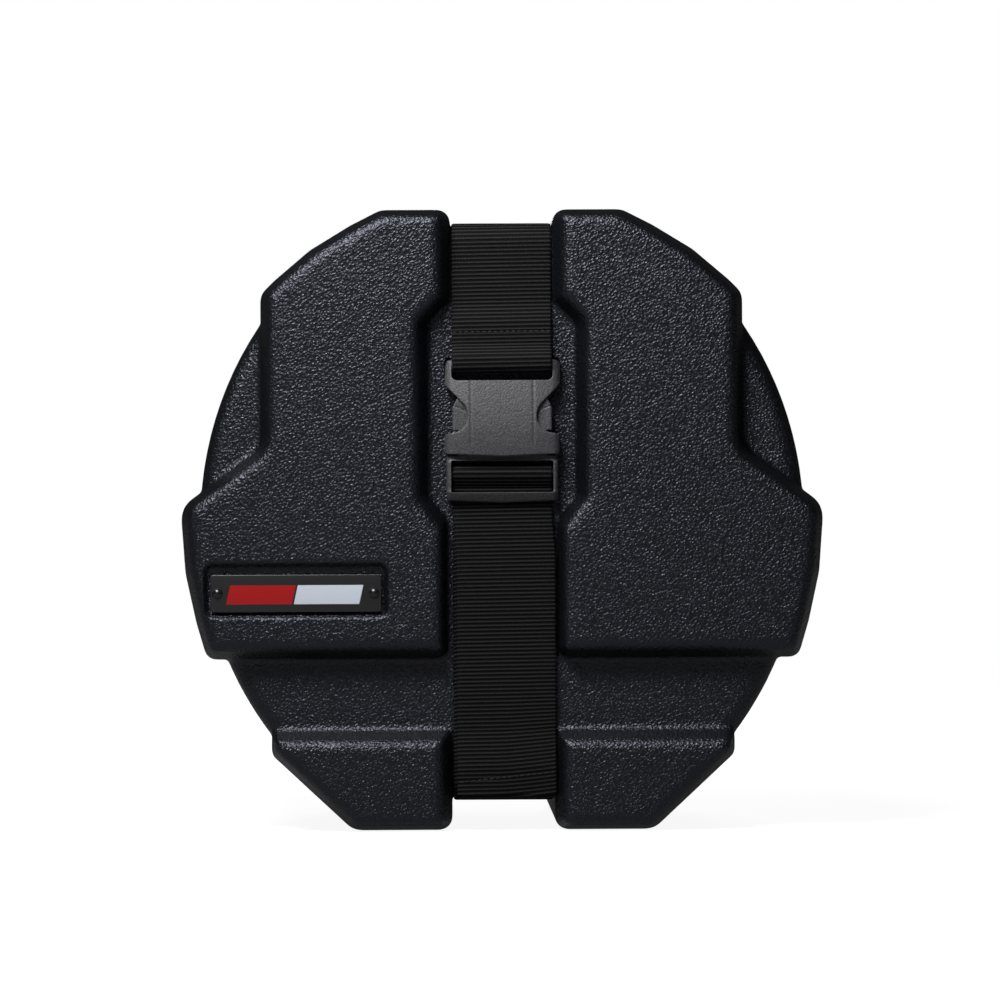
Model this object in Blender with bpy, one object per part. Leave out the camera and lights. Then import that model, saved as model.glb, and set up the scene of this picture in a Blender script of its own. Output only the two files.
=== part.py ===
"""Drum case: two moulded shells held shut by a webbing strap with a side release buckle.

Metres, +Z up. The case stands on its feet with the buckle facing -Y and the origin at the
centre of its footprint. The front shell is the lid and the rear shell is the base.
"""
import math

import bpy
from mathutils import Vector

# Driving sizes: the drum space sets the case, and the webbing sets the channel and buckle
DRUM_DIAMETER = 0.266
DRUM_DEPTH = 0.220
RING_FOAM = 0.0057
SIDE_FOAM = 0.015
END_FOAM = 0.012
WALL = 0.004
BLOCK_STEP = 0.014
WING_REACH = 0.009
TOP_CHANNEL_DEPTH = 0.009
BOTTOM_CHANNEL_DEPTH = 0.017
LID_DEPTH_SHARE = 0.393
BODY_HEIGHT_SHARE = 1.163
BODY_CENTRE_DROP = 0.0054
WEBBING_WIDTH = 0.050
WEBBING = 0.002
GAP = 0.0003
SAME_POINT_SHARE = 0.1
OVERRUN = 0.004
FLATNESS = 0.000001

# Levels that more than one piece uses
FACE_Y = DRUM_DEPTH / 2 + END_FOAM + WALL
CASE_DEPTH = (FACE_Y + BLOCK_STEP) * 2
PARTING_Y = CASE_DEPTH * LID_DEPTH_SHARE - CASE_DEPTH / 2
BODY_WIDTH = DRUM_DIAMETER + (SIDE_FOAM + WALL) * 2
CASE_WIDTH = BODY_WIDTH + WING_REACH * 2
CHANNEL_BOTTOM_Z = BOTTOM_CHANNEL_DEPTH
CHANNEL_TOP_Z = CHANNEL_BOTTOM_Z + DRUM_DIAMETER + (RING_FOAM + WALL) * 2
CASE_HEIGHT = CHANNEL_TOP_Z + TOP_CHANNEL_DEPTH
INNER_TOP_Z = CHANNEL_TOP_Z - WALL
DRUM_CENTRE_Z = (CHANNEL_TOP_Z + CHANNEL_BOTTOM_Z) / 2
BODY_HEIGHT = (CHANNEL_TOP_Z - CHANNEL_BOTTOM_Z) * BODY_HEIGHT_SHARE
BODY_CENTRE_Z = DRUM_CENTRE_Z - BODY_CENTRE_DROP
FRONT = -1
REAR = 1

# Buckle sizes that set the channel and the recess round it
EAR_CLEARANCE = 0.0004
EAR = 0.0036
INSERT_SIDE_CLEARANCE = 0.0006
INSERT_SIDE = 0.0024
SOCKET_HEIGHT = 0.0483
SOCKET_BOW = 0.0024
INSERT_HEIGHT = 0.0217
BUCKLE_HEIGHT_SHARE = 0.606
SOCKET_WIDTH = WEBBING_WIDTH + (EAR_CLEARANCE + EAR) * 2
INSERT_WIDTH = WEBBING_WIDTH + (INSERT_SIDE_CLEARANCE + INSERT_SIDE) * 2
SOCKET_BOTTOM_Z = CASE_HEIGHT * BUCKLE_HEIGHT_SHARE
SOCKET_TOP_Z = SOCKET_BOTTOM_Z + SOCKET_HEIGHT
INSERT_TOP_Z = SOCKET_BOTTOM_Z - SOCKET_BOW - GAP
INSERT_BOTTOM_Z = INSERT_TOP_Z - INSERT_HEIGHT

# Counts, angles and the most of an edge that its arcs may take
ARC_STEP = math.radians(36)
ARC_ROOM_SHARE = 0.97
BODY_SIDE_STEPS = 15
DRUM_SIDES = 44
TURNED_SIDES = 12
SHADE_ANGLE = math.radians(35)


def clear_scene():
    """Start from an empty scene."""
    for existing in list(bpy.data.objects):
        bpy.data.objects.remove(existing)


def material(name, colour, roughness, metallic=0.0):
    """One plain surface finish."""
    made = bpy.data.materials.new(name)
    made.use_nodes = True
    made.diffuse_color = (*colour, 1.0)
    shader = made.node_tree.nodes["Principled BSDF"]
    shader.inputs["Base Color"].default_value = (*colour, 1.0)
    shader.inputs["Roughness"].default_value = roughness
    shader.inputs["Metallic"].default_value = metallic
    return made


def solid(name, points, faces, finish=None, origin=(0, 0, 0)):
    """A mesh object from points and faces, with its origin where it turns or slides."""
    centre = Vector(origin)
    mesh = bpy.data.meshes.new(name)
    mesh.from_pydata([Vector(point) - centre for point in points], [], faces)
    mesh.validate()
    mesh.shade_smooth()
    mesh.set_sharp_from_angle(angle=SHADE_ANGLE)
    made = bpy.data.objects.new(name, mesh)
    made.location = centre
    bpy.context.scene.collection.objects.link(made)
    if finish is not None:
        made.data.materials.append(finish)
    return made


def combine(target, tool, operation):
    """Join a helper solid to a piece, or cut it out, and keep the helper as a wire guide."""
    tool.hide_render = True
    tool.display_type = "WIRE"
    step = target.modifiers.new(tool.name, "BOOLEAN")
    step.operation = operation
    step.solver = "EXACT"
    step.object = tool


def inset(corners, distances):
    """Move each edge of an anticlockwise outline inwards by its own distance."""
    moved = []
    count = len(corners)
    for index, (across, up, radius) in enumerate(corners):
        here = Vector((across, up))
        before = Vector(corners[index - 1][:2])
        after = Vector(corners[(index + 1) % count][:2])
        into = (here - before).normalized()
        out = (after - here).normalized()
        first = distances[index - 1]
        second = distances[index]
        turn = into.x * out.y - into.y * out.x
        shift = (out * first - into * second) / turn
        sign = 1 if turn > 0 else -1
        softened = max(radius - sign * (first + second) / 2, GAP)
        moved.append((across + shift.x, up + shift.y, softened))
    return moved


def rounded(corners, closed=True):
    """Points of an outline whose corners are arcs of the given radii."""
    count = len(corners)
    spots = [Vector(corner[:2]) for corner in corners]
    bends = []
    for index in range(count):
        into = spots[index] - spots[index - 1]
        out = spots[(index + 1) % count] - spots[index]
        ends = not closed and index in (0, count - 1)
        turn = 0.0 if ends else into.angle_signed(out)
        bends.append((turn, corners[index][2] * math.tan(abs(turn) / 2)))
    room = []
    for index in range(count):
        edge = (spots[(index + 1) % count] - spots[index]).length
        wanted = bends[index][1] + bends[(index + 1) % count][1]
        room.append(min(1.0, edge * ARC_ROOM_SHARE / wanted) if wanted > 0 else 1.0)
    points = []
    for index in range(count):
        turn, reach = bends[index]
        reach *= min(room[index - 1], room[index])
        if reach <= 0:
            points.append(spots[index])
            continue
        into = (spots[index] - spots[index - 1]).normalized()
        out = (spots[(index + 1) % count] - spots[index]).normalized()
        radius = reach / math.tan(abs(turn) / 2)
        side = Vector((-into.y, into.x)) * (-1 if turn > 0 else 1)
        centre = spots[index] - into * reach + side * radius
        steps = max(1, math.ceil(abs(turn) / ARC_STEP))
        for step in range(steps + 1):
            angle = abs(turn) * step / steps
            points.append(centre - side * radius * math.cos(angle) + into * radius * math.sin(angle))
        if (points[-1] - (spots[index] + out * reach)).length > GAP:
            raise ValueError("arc misses its edge")
    return points


def mirrored(corners):
    """The same outline on the other side of the case."""
    return [(-across, up, radius) for across, up, radius in reversed(corners)]


def is_flat(corners):
    """Whether a four sided face lies in one plane."""
    first = corners[1] - corners[0]
    across = corners[2] - corners[0]
    last = corners[3] - corners[0]
    normal = first.cross(last)
    return abs(normal.dot(across)) <= FLATNESS * normal.length


def bridge(rings, closed=False):
    """Faces between rings of equal size, capped at both ends or joined into a band."""
    size = len(rings[0])
    points = [point for ring in rings for point in ring]
    faces = []
    spans = len(rings) if closed else len(rings) - 1
    for span in range(spans):
        low = span * size
        high = (span + 1) % len(rings) * size
        for index in range(size):
            after = (index + 1) % size
            corners = (low + index, high + index, high + after, low + after)
            if is_flat([points[corner] for corner in corners]):
                faces.append(corners)
            else:
                faces.append(corners[:3])
                faces.append((corners[0], corners[2], corners[3]))
    if not closed:
        faces.append(tuple(range(size)))
        faces.append(tuple(reversed(range(len(points) - size, len(points)))))
    return points, faces


def facing_out(points, faces):
    """Turn all faces round if the solid's volume comes out negative."""
    volume = 0.0
    for face in faces:
        base = Vector(points[face[0]])
        for index in range(1, len(face) - 1):
            volume += base.dot(Vector(points[face[index]]).cross(Vector(points[face[index + 1]])))
    return faces if volume > 0 else [tuple(reversed(face)) for face in faces]


def loft(name, rings, finish=None, closed=False, origin=(0, 0, 0)):
    """A closed solid through a stack of rings."""
    points, faces = bridge(rings, closed)
    return solid(name, points, facing_out(points, faces), finish, origin)


def group(name, parts, finish=None):
    """Several separate solids, each given as a stack of rings, in one object."""
    points = []
    faces = []
    for rings in parts:
        some_points, some_faces = bridge(rings)
        start = len(points)
        some_faces = facing_out(some_points, some_faces)
        points.extend(some_points)
        faces.extend(tuple(start + index for index in face) for face in some_faces)
    return solid(name, points, faces, finish)


def upright(outline, depth_y):
    """An outline across and up the case, laid in a plane at one depth."""
    return [Vector((point[0], depth_y, point[1])) for point in outline]


def box(name, low, high, finish=None):
    """A plain block between two corners."""
    corners = [(low[0], low[2]), (high[0], low[2]), (high[0], high[2]), (low[0], high[2])]
    return loft(name, [upright(corners, low[1]), upright(corners, high[1])], finish)


def turned(profile, centre, axis, sides=TURNED_SIDES):
    """Rings of a turned solid from (radius, height) pairs, standing on a centre along an axis."""
    along = Vector(axis)
    across = along.orthogonal().normalized()
    side = along.cross(across)
    rings = []
    for radius, height in profile:
        middle = Vector(centre) + along * height
        ring = []
        for index in range(sides):
            angle = math.tau * index / sides
            ring.append(middle + (across * math.cos(angle) + side * math.sin(angle)) * radius)
        rings.append(ring)
    return rings


# Outlines of the shells
BLOCK_DRAFT_SHARE = 0.25
FOOT_TOP_DRAFT_SHARE = 0.54
BLOCK_EDGE_RADIUS = 0.004
BODY_EDGE_RADIUS = 0.008
BLOCK_EDGE_STEPS = 2
BODY_EDGE_STEPS = math.ceil(math.pi / 2 / ARC_STEP)
STRAP_ROOM = 0.002
INSERT_ROOM = 0.0008
FINGER_ROOM = 0.0085
RECESS_ABOVE = 0.029
RECESS_BELOW = 0.0083
UPPER_CHANNEL_WIDTH = WEBBING_WIDTH + STRAP_ROOM * 2
LOWER_CHANNEL_WIDTH = INSERT_WIDTH + INSERT_ROOM * 2
BUCKLE_RECESS_WIDTH = SOCKET_WIDTH + FINGER_ROOM * 2
RECESS_TOP_Z = SOCKET_TOP_Z + RECESS_ABOVE
RECESS_BOTTOM_Z = INSERT_BOTTOM_Z - RECESS_BELOW
RECESS_CORNER_HEIGHT = 0.012
RECESS_CORNER_RADIUS = 0.005
TOP_INNER_RADIUS = 0.0065
TOP_OUTER_RADIUS = 0.010
CROWN_RADIUS = 0.150
SIDE_TOP_RADIUS = 0.008
SIDE_FOOT_RADIUS = 0.012
WING_TOP_RADIUS = 0.012
WING_SIDE_RADIUS = 0.177
WING_FOOT_RADIUS = 0.006
FOOT_HEIGHT = 0.0515
FOOT_INNER_RADIUS = 0.0065
FOOT_OUTER_RADIUS = 0.010
FOOT_TOP_RADIUS = 0.003
TOP_FLAT_SHARE = 0.376
CROWN_SHARES = (0.604, 0.940)
SIDE_SHARE = 0.752
SIDE_TOP_SHARE = 0.864
SIDE_FOOT_SHARE = 0.617
WING_TOP_SHARE = 0.523
WING_TURN_SHARE = 0.414
WING_FOOT_SHARES = (0.922, 0.280)
FOOT_FLAT_SHARE = 0.475
FOOT_TURN_SHARES = (0.608, 0.060)
FOOT_TOP_SHARE = 0.7415
BLOCK_INNER_SHARE = 0.280


def block_corners(with_recess):
    """The large raised block right of the strap, anticlockwise from its lower inner corner."""
    half = CASE_WIDTH / 2
    top = CASE_HEIGHT
    corners = [
        (LOWER_CHANNEL_WIDTH / 2, top * BLOCK_INNER_SHARE, RECESS_CORNER_RADIUS),
        (half * WING_FOOT_SHARES[0], top * WING_FOOT_SHARES[1], WING_FOOT_RADIUS),
        (half, top * WING_TURN_SHARE, WING_SIDE_RADIUS),
        (half, top * WING_TOP_SHARE, WING_TOP_RADIUS),
        (half * SIDE_SHARE, top * SIDE_FOOT_SHARE, SIDE_FOOT_RADIUS),
        (half * SIDE_SHARE, top * SIDE_TOP_SHARE, SIDE_TOP_RADIUS),
        (half * CROWN_SHARES[0], top * CROWN_SHARES[1], CROWN_RADIUS),
        (half * TOP_FLAT_SHARE, top, TOP_OUTER_RADIUS),
        (UPPER_CHANNEL_WIDTH / 2, top, TOP_INNER_RADIUS),
    ]
    if with_recess:
        corners += [
            (UPPER_CHANNEL_WIDTH / 2, RECESS_TOP_Z, RECESS_CORNER_RADIUS),
            (BUCKLE_RECESS_WIDTH / 2, RECESS_TOP_Z - RECESS_CORNER_HEIGHT, RECESS_CORNER_RADIUS),
            (BUCKLE_RECESS_WIDTH / 2, RECESS_BOTTOM_Z + RECESS_CORNER_HEIGHT, RECESS_CORNER_RADIUS),
            (LOWER_CHANNEL_WIDTH / 2, RECESS_BOTTOM_Z, RECESS_CORNER_RADIUS),
        ]
    return corners


def foot_corners():
    """The foot right of the strap, anticlockwise from its lower inner corner."""
    half = CASE_WIDTH / 2
    return [
        (LOWER_CHANNEL_WIDTH / 2, 0, FOOT_INNER_RADIUS),
        (half * FOOT_FLAT_SHARE, 0, FOOT_OUTER_RADIUS),
        (half * FOOT_TURN_SHARES[0], CASE_HEIGHT * FOOT_TURN_SHARES[1], CROWN_RADIUS),
        (half * FOOT_TOP_SHARE, FOOT_HEIGHT, FOOT_TOP_RADIUS),
        (LOWER_CHANNEL_WIDTH / 2, FOOT_HEIGHT, FOOT_TOP_RADIUS),
    ]


def raised_rings(corners, drafts, shrink, start_y, side):
    """Rings of a raised block: straight from the rim, drafted over its step, round at the face."""
    flat = [shrink] * len(corners)
    rings = [
        upright(rounded(inset(corners, flat)), start_y),
        upright(rounded(inset(corners, flat)), side * (FACE_Y - GAP)),
    ]
    radius = BLOCK_EDGE_RADIUS
    outer_y = CASE_DEPTH / 2 - shrink
    for step in range(BLOCK_EDGE_STEPS + 1):
        angle = math.pi / 2 * step / BLOCK_EDGE_STEPS
        depth = outer_y - radius + radius * math.sin(angle)
        rise = depth - FACE_Y
        distances = [shrink + rise * draft + radius * (1 - math.cos(angle)) for draft in drafts]
        rings.append(upright(rounded(inset(corners, distances)), side * depth))
    return rings


def raised_blocks(name, side, shrink, start_y):
    """The two blocks and the two feet of one shell, or the hollows inside them."""
    block = block_corners(side == FRONT)
    foot = foot_corners()
    parts = []
    for corners in (block, mirrored(block)):
        drafts = [BLOCK_DRAFT_SHARE] * len(corners)
        parts.append(raised_rings(corners, drafts, shrink, start_y, side))
    top_edge = foot.index(foot[-2])
    for corners, steep_edge in ((foot, top_edge), (mirrored(foot), 0)):
        drafts = [BLOCK_DRAFT_SHARE] * len(corners)
        drafts[steep_edge] = FOOT_TOP_DRAFT_SHARE
        parts.append(raised_rings(corners, drafts, shrink, start_y, side))
    return group(name, parts)


def body_outline(shrink):
    """The round body's outline, cut flat under the strap, drawn in by a distance."""
    half_width = BODY_WIDTH / 2 - shrink
    half_height = BODY_HEIGHT / 2 - shrink
    low = math.asin((CHANNEL_BOTTOM_Z + shrink - BODY_CENTRE_Z) / half_height)
    high = math.asin((CHANNEL_TOP_Z - shrink - BODY_CENTRE_Z) / half_height)
    right = []
    for step in range(BODY_SIDE_STEPS + 1):
        angle = low + (high - low) * step / BODY_SIDE_STEPS
        right.append((half_width * math.cos(angle), BODY_CENTRE_Z + half_height * math.sin(angle)))
    return right + [(-across, up) for across, up in reversed(right)]


def body_rings(side, start_y):
    """Rings of the round body with its rounded face edge."""
    rings = [upright(body_outline(0), start_y)]
    radius = BODY_EDGE_RADIUS
    for step in range(BODY_EDGE_STEPS + 1):
        angle = math.pi / 2 * step / BODY_EDGE_STEPS
        depth = FACE_Y - radius + radius * math.sin(angle)
        rings.append(upright(body_outline(radius * (1 - math.cos(angle))), side * depth))
    return rings


def hollow_rings(side, start_y, clearance):
    """Rings that fill the body's inside, at a clearance from its walls."""
    reach = WALL + clearance
    chamfer = BODY_EDGE_RADIUS - WALL
    return [
        upright(body_outline(reach), start_y),
        upright(body_outline(reach), side * (FACE_Y - reach - chamfer)),
        upright(body_outline(reach + chamfer), side * (FACE_Y - reach)),
    ]


# Shells
RIM_BAND = 0.012
TONGUE = 0.003
TONGUE_LENGTH = 0.014
TONGUE_ROOT = 0.010
TONGUE_CLEARANCE = 0.0004


def tongue_hollow_rings():
    """The rear shell's inside, narrow inside the tongue and full behind its root."""
    rim_y = PARTING_Y + GAP / 2
    inner = WALL + TONGUE_CLEARANCE + TONGUE
    narrow = [
        upright(body_outline(inner), rim_y - TONGUE_LENGTH - OVERRUN),
        upright(body_outline(inner), rim_y + TONGUE_ROOT - TONGUE),
    ]
    return narrow + hollow_rings(REAR, rim_y + TONGUE_ROOT, 0)


def make_shell(name, side, finish):
    """One shell before its fittings: walls, hollow blocks and a rim, with a tongue at the rear."""
    rim_y = PARTING_Y + side * GAP / 2
    past_rim = rim_y - side * OVERRUN
    has_tongue = side == REAR
    body_start = rim_y - TONGUE_LENGTH if has_tongue else past_rim
    shell = loft(name, body_rings(side, body_start), finish)
    if has_tongue:
        cut_rivet_holes(shell, name + "_rivet_holes")
    blocks = raised_blocks(name + "_blocks", side, 0, past_rim + side * GAP)
    combine(shell, blocks, "UNION")
    inside = tongue_hollow_rings() if has_tongue else hollow_rings(side, past_rim - side * OVERRUN, 0)
    combine(shell, loft(name + "_hollow", inside), "DIFFERENCE")
    block_hollow = raised_blocks(name + "_block_hollows", side, WALL, rim_y + side * RIM_BAND)
    combine(shell, block_hollow, "DIFFERENCE")
    if has_tongue:
        keep = body_outline(WALL + TONGUE_CLEARANCE)
        beyond = body_outline(-CASE_WIDTH)
        trim_start = rim_y - TONGUE_LENGTH - OVERRUN
        rings = [upright(keep, trim_start), upright(keep, rim_y), upright(beyond, rim_y), upright(beyond, trim_start)]
        trim = loft(name + "_rim_trim", rings, closed=True)
    else:
        reach = CASE_WIDTH
        trim = box(name + "_rim_trim", (-reach, rim_y, -reach), (reach, rim_y + CASE_DEPTH, reach + CASE_HEIGHT))
    combine(shell, trim, "DIFFERENCE")
    return shell, block_hollow


# Nameplate on the left block
PLATE_LENGTH = 0.0855
PLATE_HEIGHT = 0.0187
PLATE_THICKNESS = 0.0012
PLATE_RADIUS = 0.0015
PLATE_RISE = 0.0321
PLATE_EDGE_MARGIN = 0.0146
NAME_RECESS_MARGIN_X = 0.003
NAME_RECESS_BELOW = 0.0028
NAME_RECESS_ABOVE = 0.0052
NAME_RECESS_DEPTH = 0.0025
NAME_RECESS_RADIUS = 0.004
PLATE_RIVET_INSET = 0.0036
PLATE_RIVET_HEAD = 0.0054
PLATE_RIVET_SHANK = 0.003
PLATE_RIVET_DOME = 0.0006
PLATE_RIVET_TAIL = 0.0012
PLATE_CENTRE_Z = CASE_HEIGHT * BLOCK_INNER_SHARE + PLATE_RISE
PLATE_CENTRE_X = -CASE_WIDTH / 2 + PLATE_EDGE_MARGIN + PLATE_LENGTH / 2
PLATE_BACK_Y = -CASE_DEPTH / 2 + NAME_RECESS_DEPTH - GAP
PLATE_FRONT_Y = PLATE_BACK_Y - PLATE_THICKNESS
PLATE_WALL_BACK_Y = -CASE_DEPTH / 2 + NAME_RECESS_DEPTH + WALL


def rectangle(low_x, high_x, low_z, high_z, radius):
    """A rounded rectangle, anticlockwise."""
    return [
        (low_x, low_z, radius),
        (high_x, low_z, radius),
        (high_x, high_z, radius),
        (low_x, high_z, radius),
    ]


def plate_rivet_places():
    """Where the two nameplate rivets stand."""
    reach = PLATE_LENGTH / 2 - PLATE_RIVET_INSET
    return [(PLATE_CENTRE_X + side * reach, PLATE_CENTRE_Z) for side in (-1, 1)]


def cut_name_recess(shell, block_hollow):
    """The shallow recess for the nameplate, with full wall kept behind it and rivet holes."""
    low_x = PLATE_CENTRE_X - PLATE_LENGTH / 2 - NAME_RECESS_MARGIN_X
    high_x = PLATE_CENTRE_X + PLATE_LENGTH / 2 + NAME_RECESS_MARGIN_X
    low_z = PLATE_CENTRE_Z - PLATE_HEIGHT / 2 - NAME_RECESS_BELOW
    high_z = PLATE_CENTRE_Z + PLATE_HEIGHT / 2 + NAME_RECESS_ABOVE
    front = -CASE_DEPTH / 2
    backing = box(
        "name_backing",
        (low_x - WALL, front - OVERRUN, low_z - WALL),
        (high_x + WALL, PLATE_WALL_BACK_Y, high_z + WALL),
    )
    combine(block_hollow, backing, "DIFFERENCE")
    outline = rounded(rectangle(low_x, high_x, low_z, high_z, NAME_RECESS_RADIUS))
    recess = loft(
        "name_recess",
        [upright(outline, front - OVERRUN), upright(outline, front + NAME_RECESS_DEPTH)],
    )
    combine(shell, recess, "DIFFERENCE")
    holes = []
    for across, up in plate_rivet_places():
        radius = PLATE_RIVET_SHANK / 2 + GAP
        profile = [(radius, 0), (radius, CASE_DEPTH / 2 - FACE_Y + OVERRUN)]
        holes.append(turned(profile, (across, front, up), (0, 1, 0)))
    combine(shell, group("plate_rivet_holes", holes), "DIFFERENCE")


def make_nameplate(finish):
    """The thin plate, bare of any name, with two rivet holes."""
    low_x = PLATE_CENTRE_X - PLATE_LENGTH / 2
    low_z = PLATE_CENTRE_Z - PLATE_HEIGHT / 2
    corners = rectangle(low_x, low_x + PLATE_LENGTH, low_z, low_z + PLATE_HEIGHT, PLATE_RADIUS)
    outline = rounded(corners)
    plate = loft("nameplate", [upright(outline, PLATE_BACK_Y), upright(outline, PLATE_FRONT_Y)], finish)
    holes = []
    for across, up in plate_rivet_places():
        radius = PLATE_RIVET_SHANK / 2 + GAP
        profile = [(radius, 0), (radius, PLATE_THICKNESS + OVERRUN * 2)]
        holes.append(turned(profile, (across, PLATE_FRONT_Y - OVERRUN, up), (0, 1, 0)))
    combine(plate, group("nameplate_holes", holes), "DIFFERENCE")


def make_plate_rivets(finish):
    """Two domed rivets through the plate and the wall behind it."""
    head = PLATE_RIVET_HEAD / 2
    shank = PLATE_RIVET_SHANK / 2
    grip = PLATE_WALL_BACK_Y - PLATE_FRONT_Y + GAP
    profile = [
        (shank, -PLATE_RIVET_DOME),
        (head, 0),
        (shank, 0),
        (shank, grip + GAP),
        (head, grip + GAP),
        (head, grip + GAP + PLATE_RIVET_TAIL),
    ]
    for name, (across, up) in zip(("left", "right"), plate_rivet_places()):
        rings = turned(profile, (across, PLATE_FRONT_Y - GAP, up), (0, 1, 0))
        loft("nameplate_rivet_" + name, rings, finish)


# Foam lining
LINER_SETBACK = 0.002


def liner(name, start_y, end_y, finish):
    """A foam ring between the shell's wall and the drum."""
    outer = body_outline(WALL + GAP)
    ring = loft(name, [upright(outer, start_y), upright(outer, end_y)], finish)
    profile = [(DRUM_DIAMETER / 2, start_y - OVERRUN), (DRUM_DIAMETER / 2, end_y + OVERRUN)]
    space = turned(profile, (0, 0, DRUM_CENTRE_Z), (0, 1, 0), DRUM_SIDES)
    combine(ring, loft(name + "_drum_space", space), "DIFFERENCE")
    return ring


def make_foam(finish):
    """End pads against both faces, and a ring in each shell."""
    foam_y = FACE_Y - WALL - GAP
    for name, side in (("front_foam_pad", FRONT), ("rear_foam_pad", REAR)):
        loft(name, hollow_rings(side, side * (foam_y - END_FOAM), GAP), finish)
    pad_face_y = foam_y - END_FOAM - GAP
    tongue_end_y = PARTING_Y + GAP / 2 - TONGUE_LENGTH
    tongue_root_y = PARTING_Y + GAP / 2 + TONGUE_ROOT
    liner("front_foam_liner", -pad_face_y, tongue_end_y - LINER_SETBACK, finish)
    return liner("rear_foam_liner", tongue_root_y + GAP, pad_face_y, finish)


# Strap route, as centre lines across the depth and up
LAYER = WEBBING + GAP
STRAP_TOP_Z = CHANNEL_TOP_Z + GAP + WEBBING / 2
STRAP_BOTTOM_Z = CHANNEL_BOTTOM_Z - GAP - WEBBING / 2
STRAP_FACE_Y = FACE_Y + GAP + WEBBING / 2
STRAP_BEND = BODY_EDGE_RADIUS + GAP + WEBBING / 2
BEND_START_Y = STRAP_FACE_Y - STRAP_BEND
SOCKET_BAR_DROP = 0.0035
SOCKET_BAR_RADIUS = 0.0022
SOCKET_LOOP = SOCKET_BAR_RADIUS + GAP + WEBBING / 2
FOLD_END_RISE = 0.0195
FOLD_LEAD = 0.010
FOLD_BEND = 0.012
LOOP_LEAD = 0.0035
LOOP_BEND = 0.004
CROSS_DROP = 0.006
ADJUSTER_BAR_RISE = 0.0147
ADJUSTER_BAR_RADIUS = 0.0018
ADJUSTER_LOOP = ADJUSTER_BAR_RADIUS + GAP + WEBBING / 2
ADJUSTER_LEAD = 0.0015
ADJUSTER_DROP = 0.0055
ADJUSTER_BEND = 0.003
TAIL_DROP = 0.0007
HEM_LENGTH = 0.0122
HEM_LEAD = 0.010
HEM_BEND = 0.010
HANDLE_WIDTH_SHARE = 0.76
HANDLE_SETBACK = 0.020
HANDLE_END_ROOM = 0.004
HANDLE_RIVET_INSET_Y = 0.009
HANDLE_RIVET_SPACING = 0.020
RIVET_SHANK = 0.0048
ADJUSTER_BAR_Y = -STRAP_FACE_Y - ADJUSTER_LOOP
ADJUSTER_BAR_Z = INSERT_BOTTOM_Z + ADJUSTER_BAR_RISE
SOCKET_BAR_Y = -STRAP_FACE_Y - SOCKET_LOOP
SOCKET_BAR_Z = SOCKET_TOP_Z - SOCKET_BAR_DROP
TAIL_END_Z = CHANNEL_BOTTOM_Z - TAIL_DROP
HANDLE_WIDTH = WEBBING_WIDTH * HANDLE_WIDTH_SHARE
HANDLE_START_Y = PARTING_Y + HANDLE_SETBACK
HANDLE_END_Y = FACE_Y - WALL - END_FOAM - HANDLE_END_ROOM
HANDLE_LENGTH = HANDLE_END_Y - HANDLE_START_Y


def ribbon(name, route, width, finish):
    """A flat band of webbing along a route of (depth, height, bend radius) corners."""
    line = rounded(route, closed=False)
    tidy = [line[0]]
    for point in line[1:]:
        if (point - tidy[-1]).length > GAP * SAME_POINT_SHARE:
            tidy.append(point)
    rings = []
    for index, point in enumerate(tidy):
        into = point - tidy[max(index - 1, 0)]
        out = tidy[min(index + 1, len(tidy) - 1)] - point
        first = into.normalized() if into.length > 0 else out.normalized()
        second = out.normalized() if out.length > 0 else first
        along = (first + second).normalized()
        widen = 1 / along.dot(first)
        normal = Vector((-along.y, along.x)) * WEBBING / 2 * widen
        ring = []
        for across, edge in ((-1, -1), (1, -1), (1, 1), (-1, 1)):
            spot = point + normal * edge
            ring.append(Vector((across * width / 2, spot.x, spot.y)))
        rings.append(ring)
    return loft(name, rings, finish)


def handle_rivet_places():
    """Where the four handle rivets stand, across and along the case."""
    ends = (HANDLE_START_Y + HANDLE_RIVET_INSET_Y, HANDLE_END_Y - HANDLE_RIVET_INSET_Y)
    return [(side * HANDLE_RIVET_SPACING / 2, end) for end in ends for side in (-1, 1)]


def cut_rivet_holes(target, name):
    """Holes for the handle rivets, straight down through one piece."""
    radius = RIVET_SHANK / 2 + GAP
    reach = TOP_CHANNEL_DEPTH + WALL + OVERRUN
    places = handle_rivet_places()
    holes = [turned([(radius, -reach), (radius, reach)], (x, y, CHANNEL_TOP_Z), (0, 0, 1)) for x, y in places]
    combine(target, group(name, holes), "DIFFERENCE")


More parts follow.
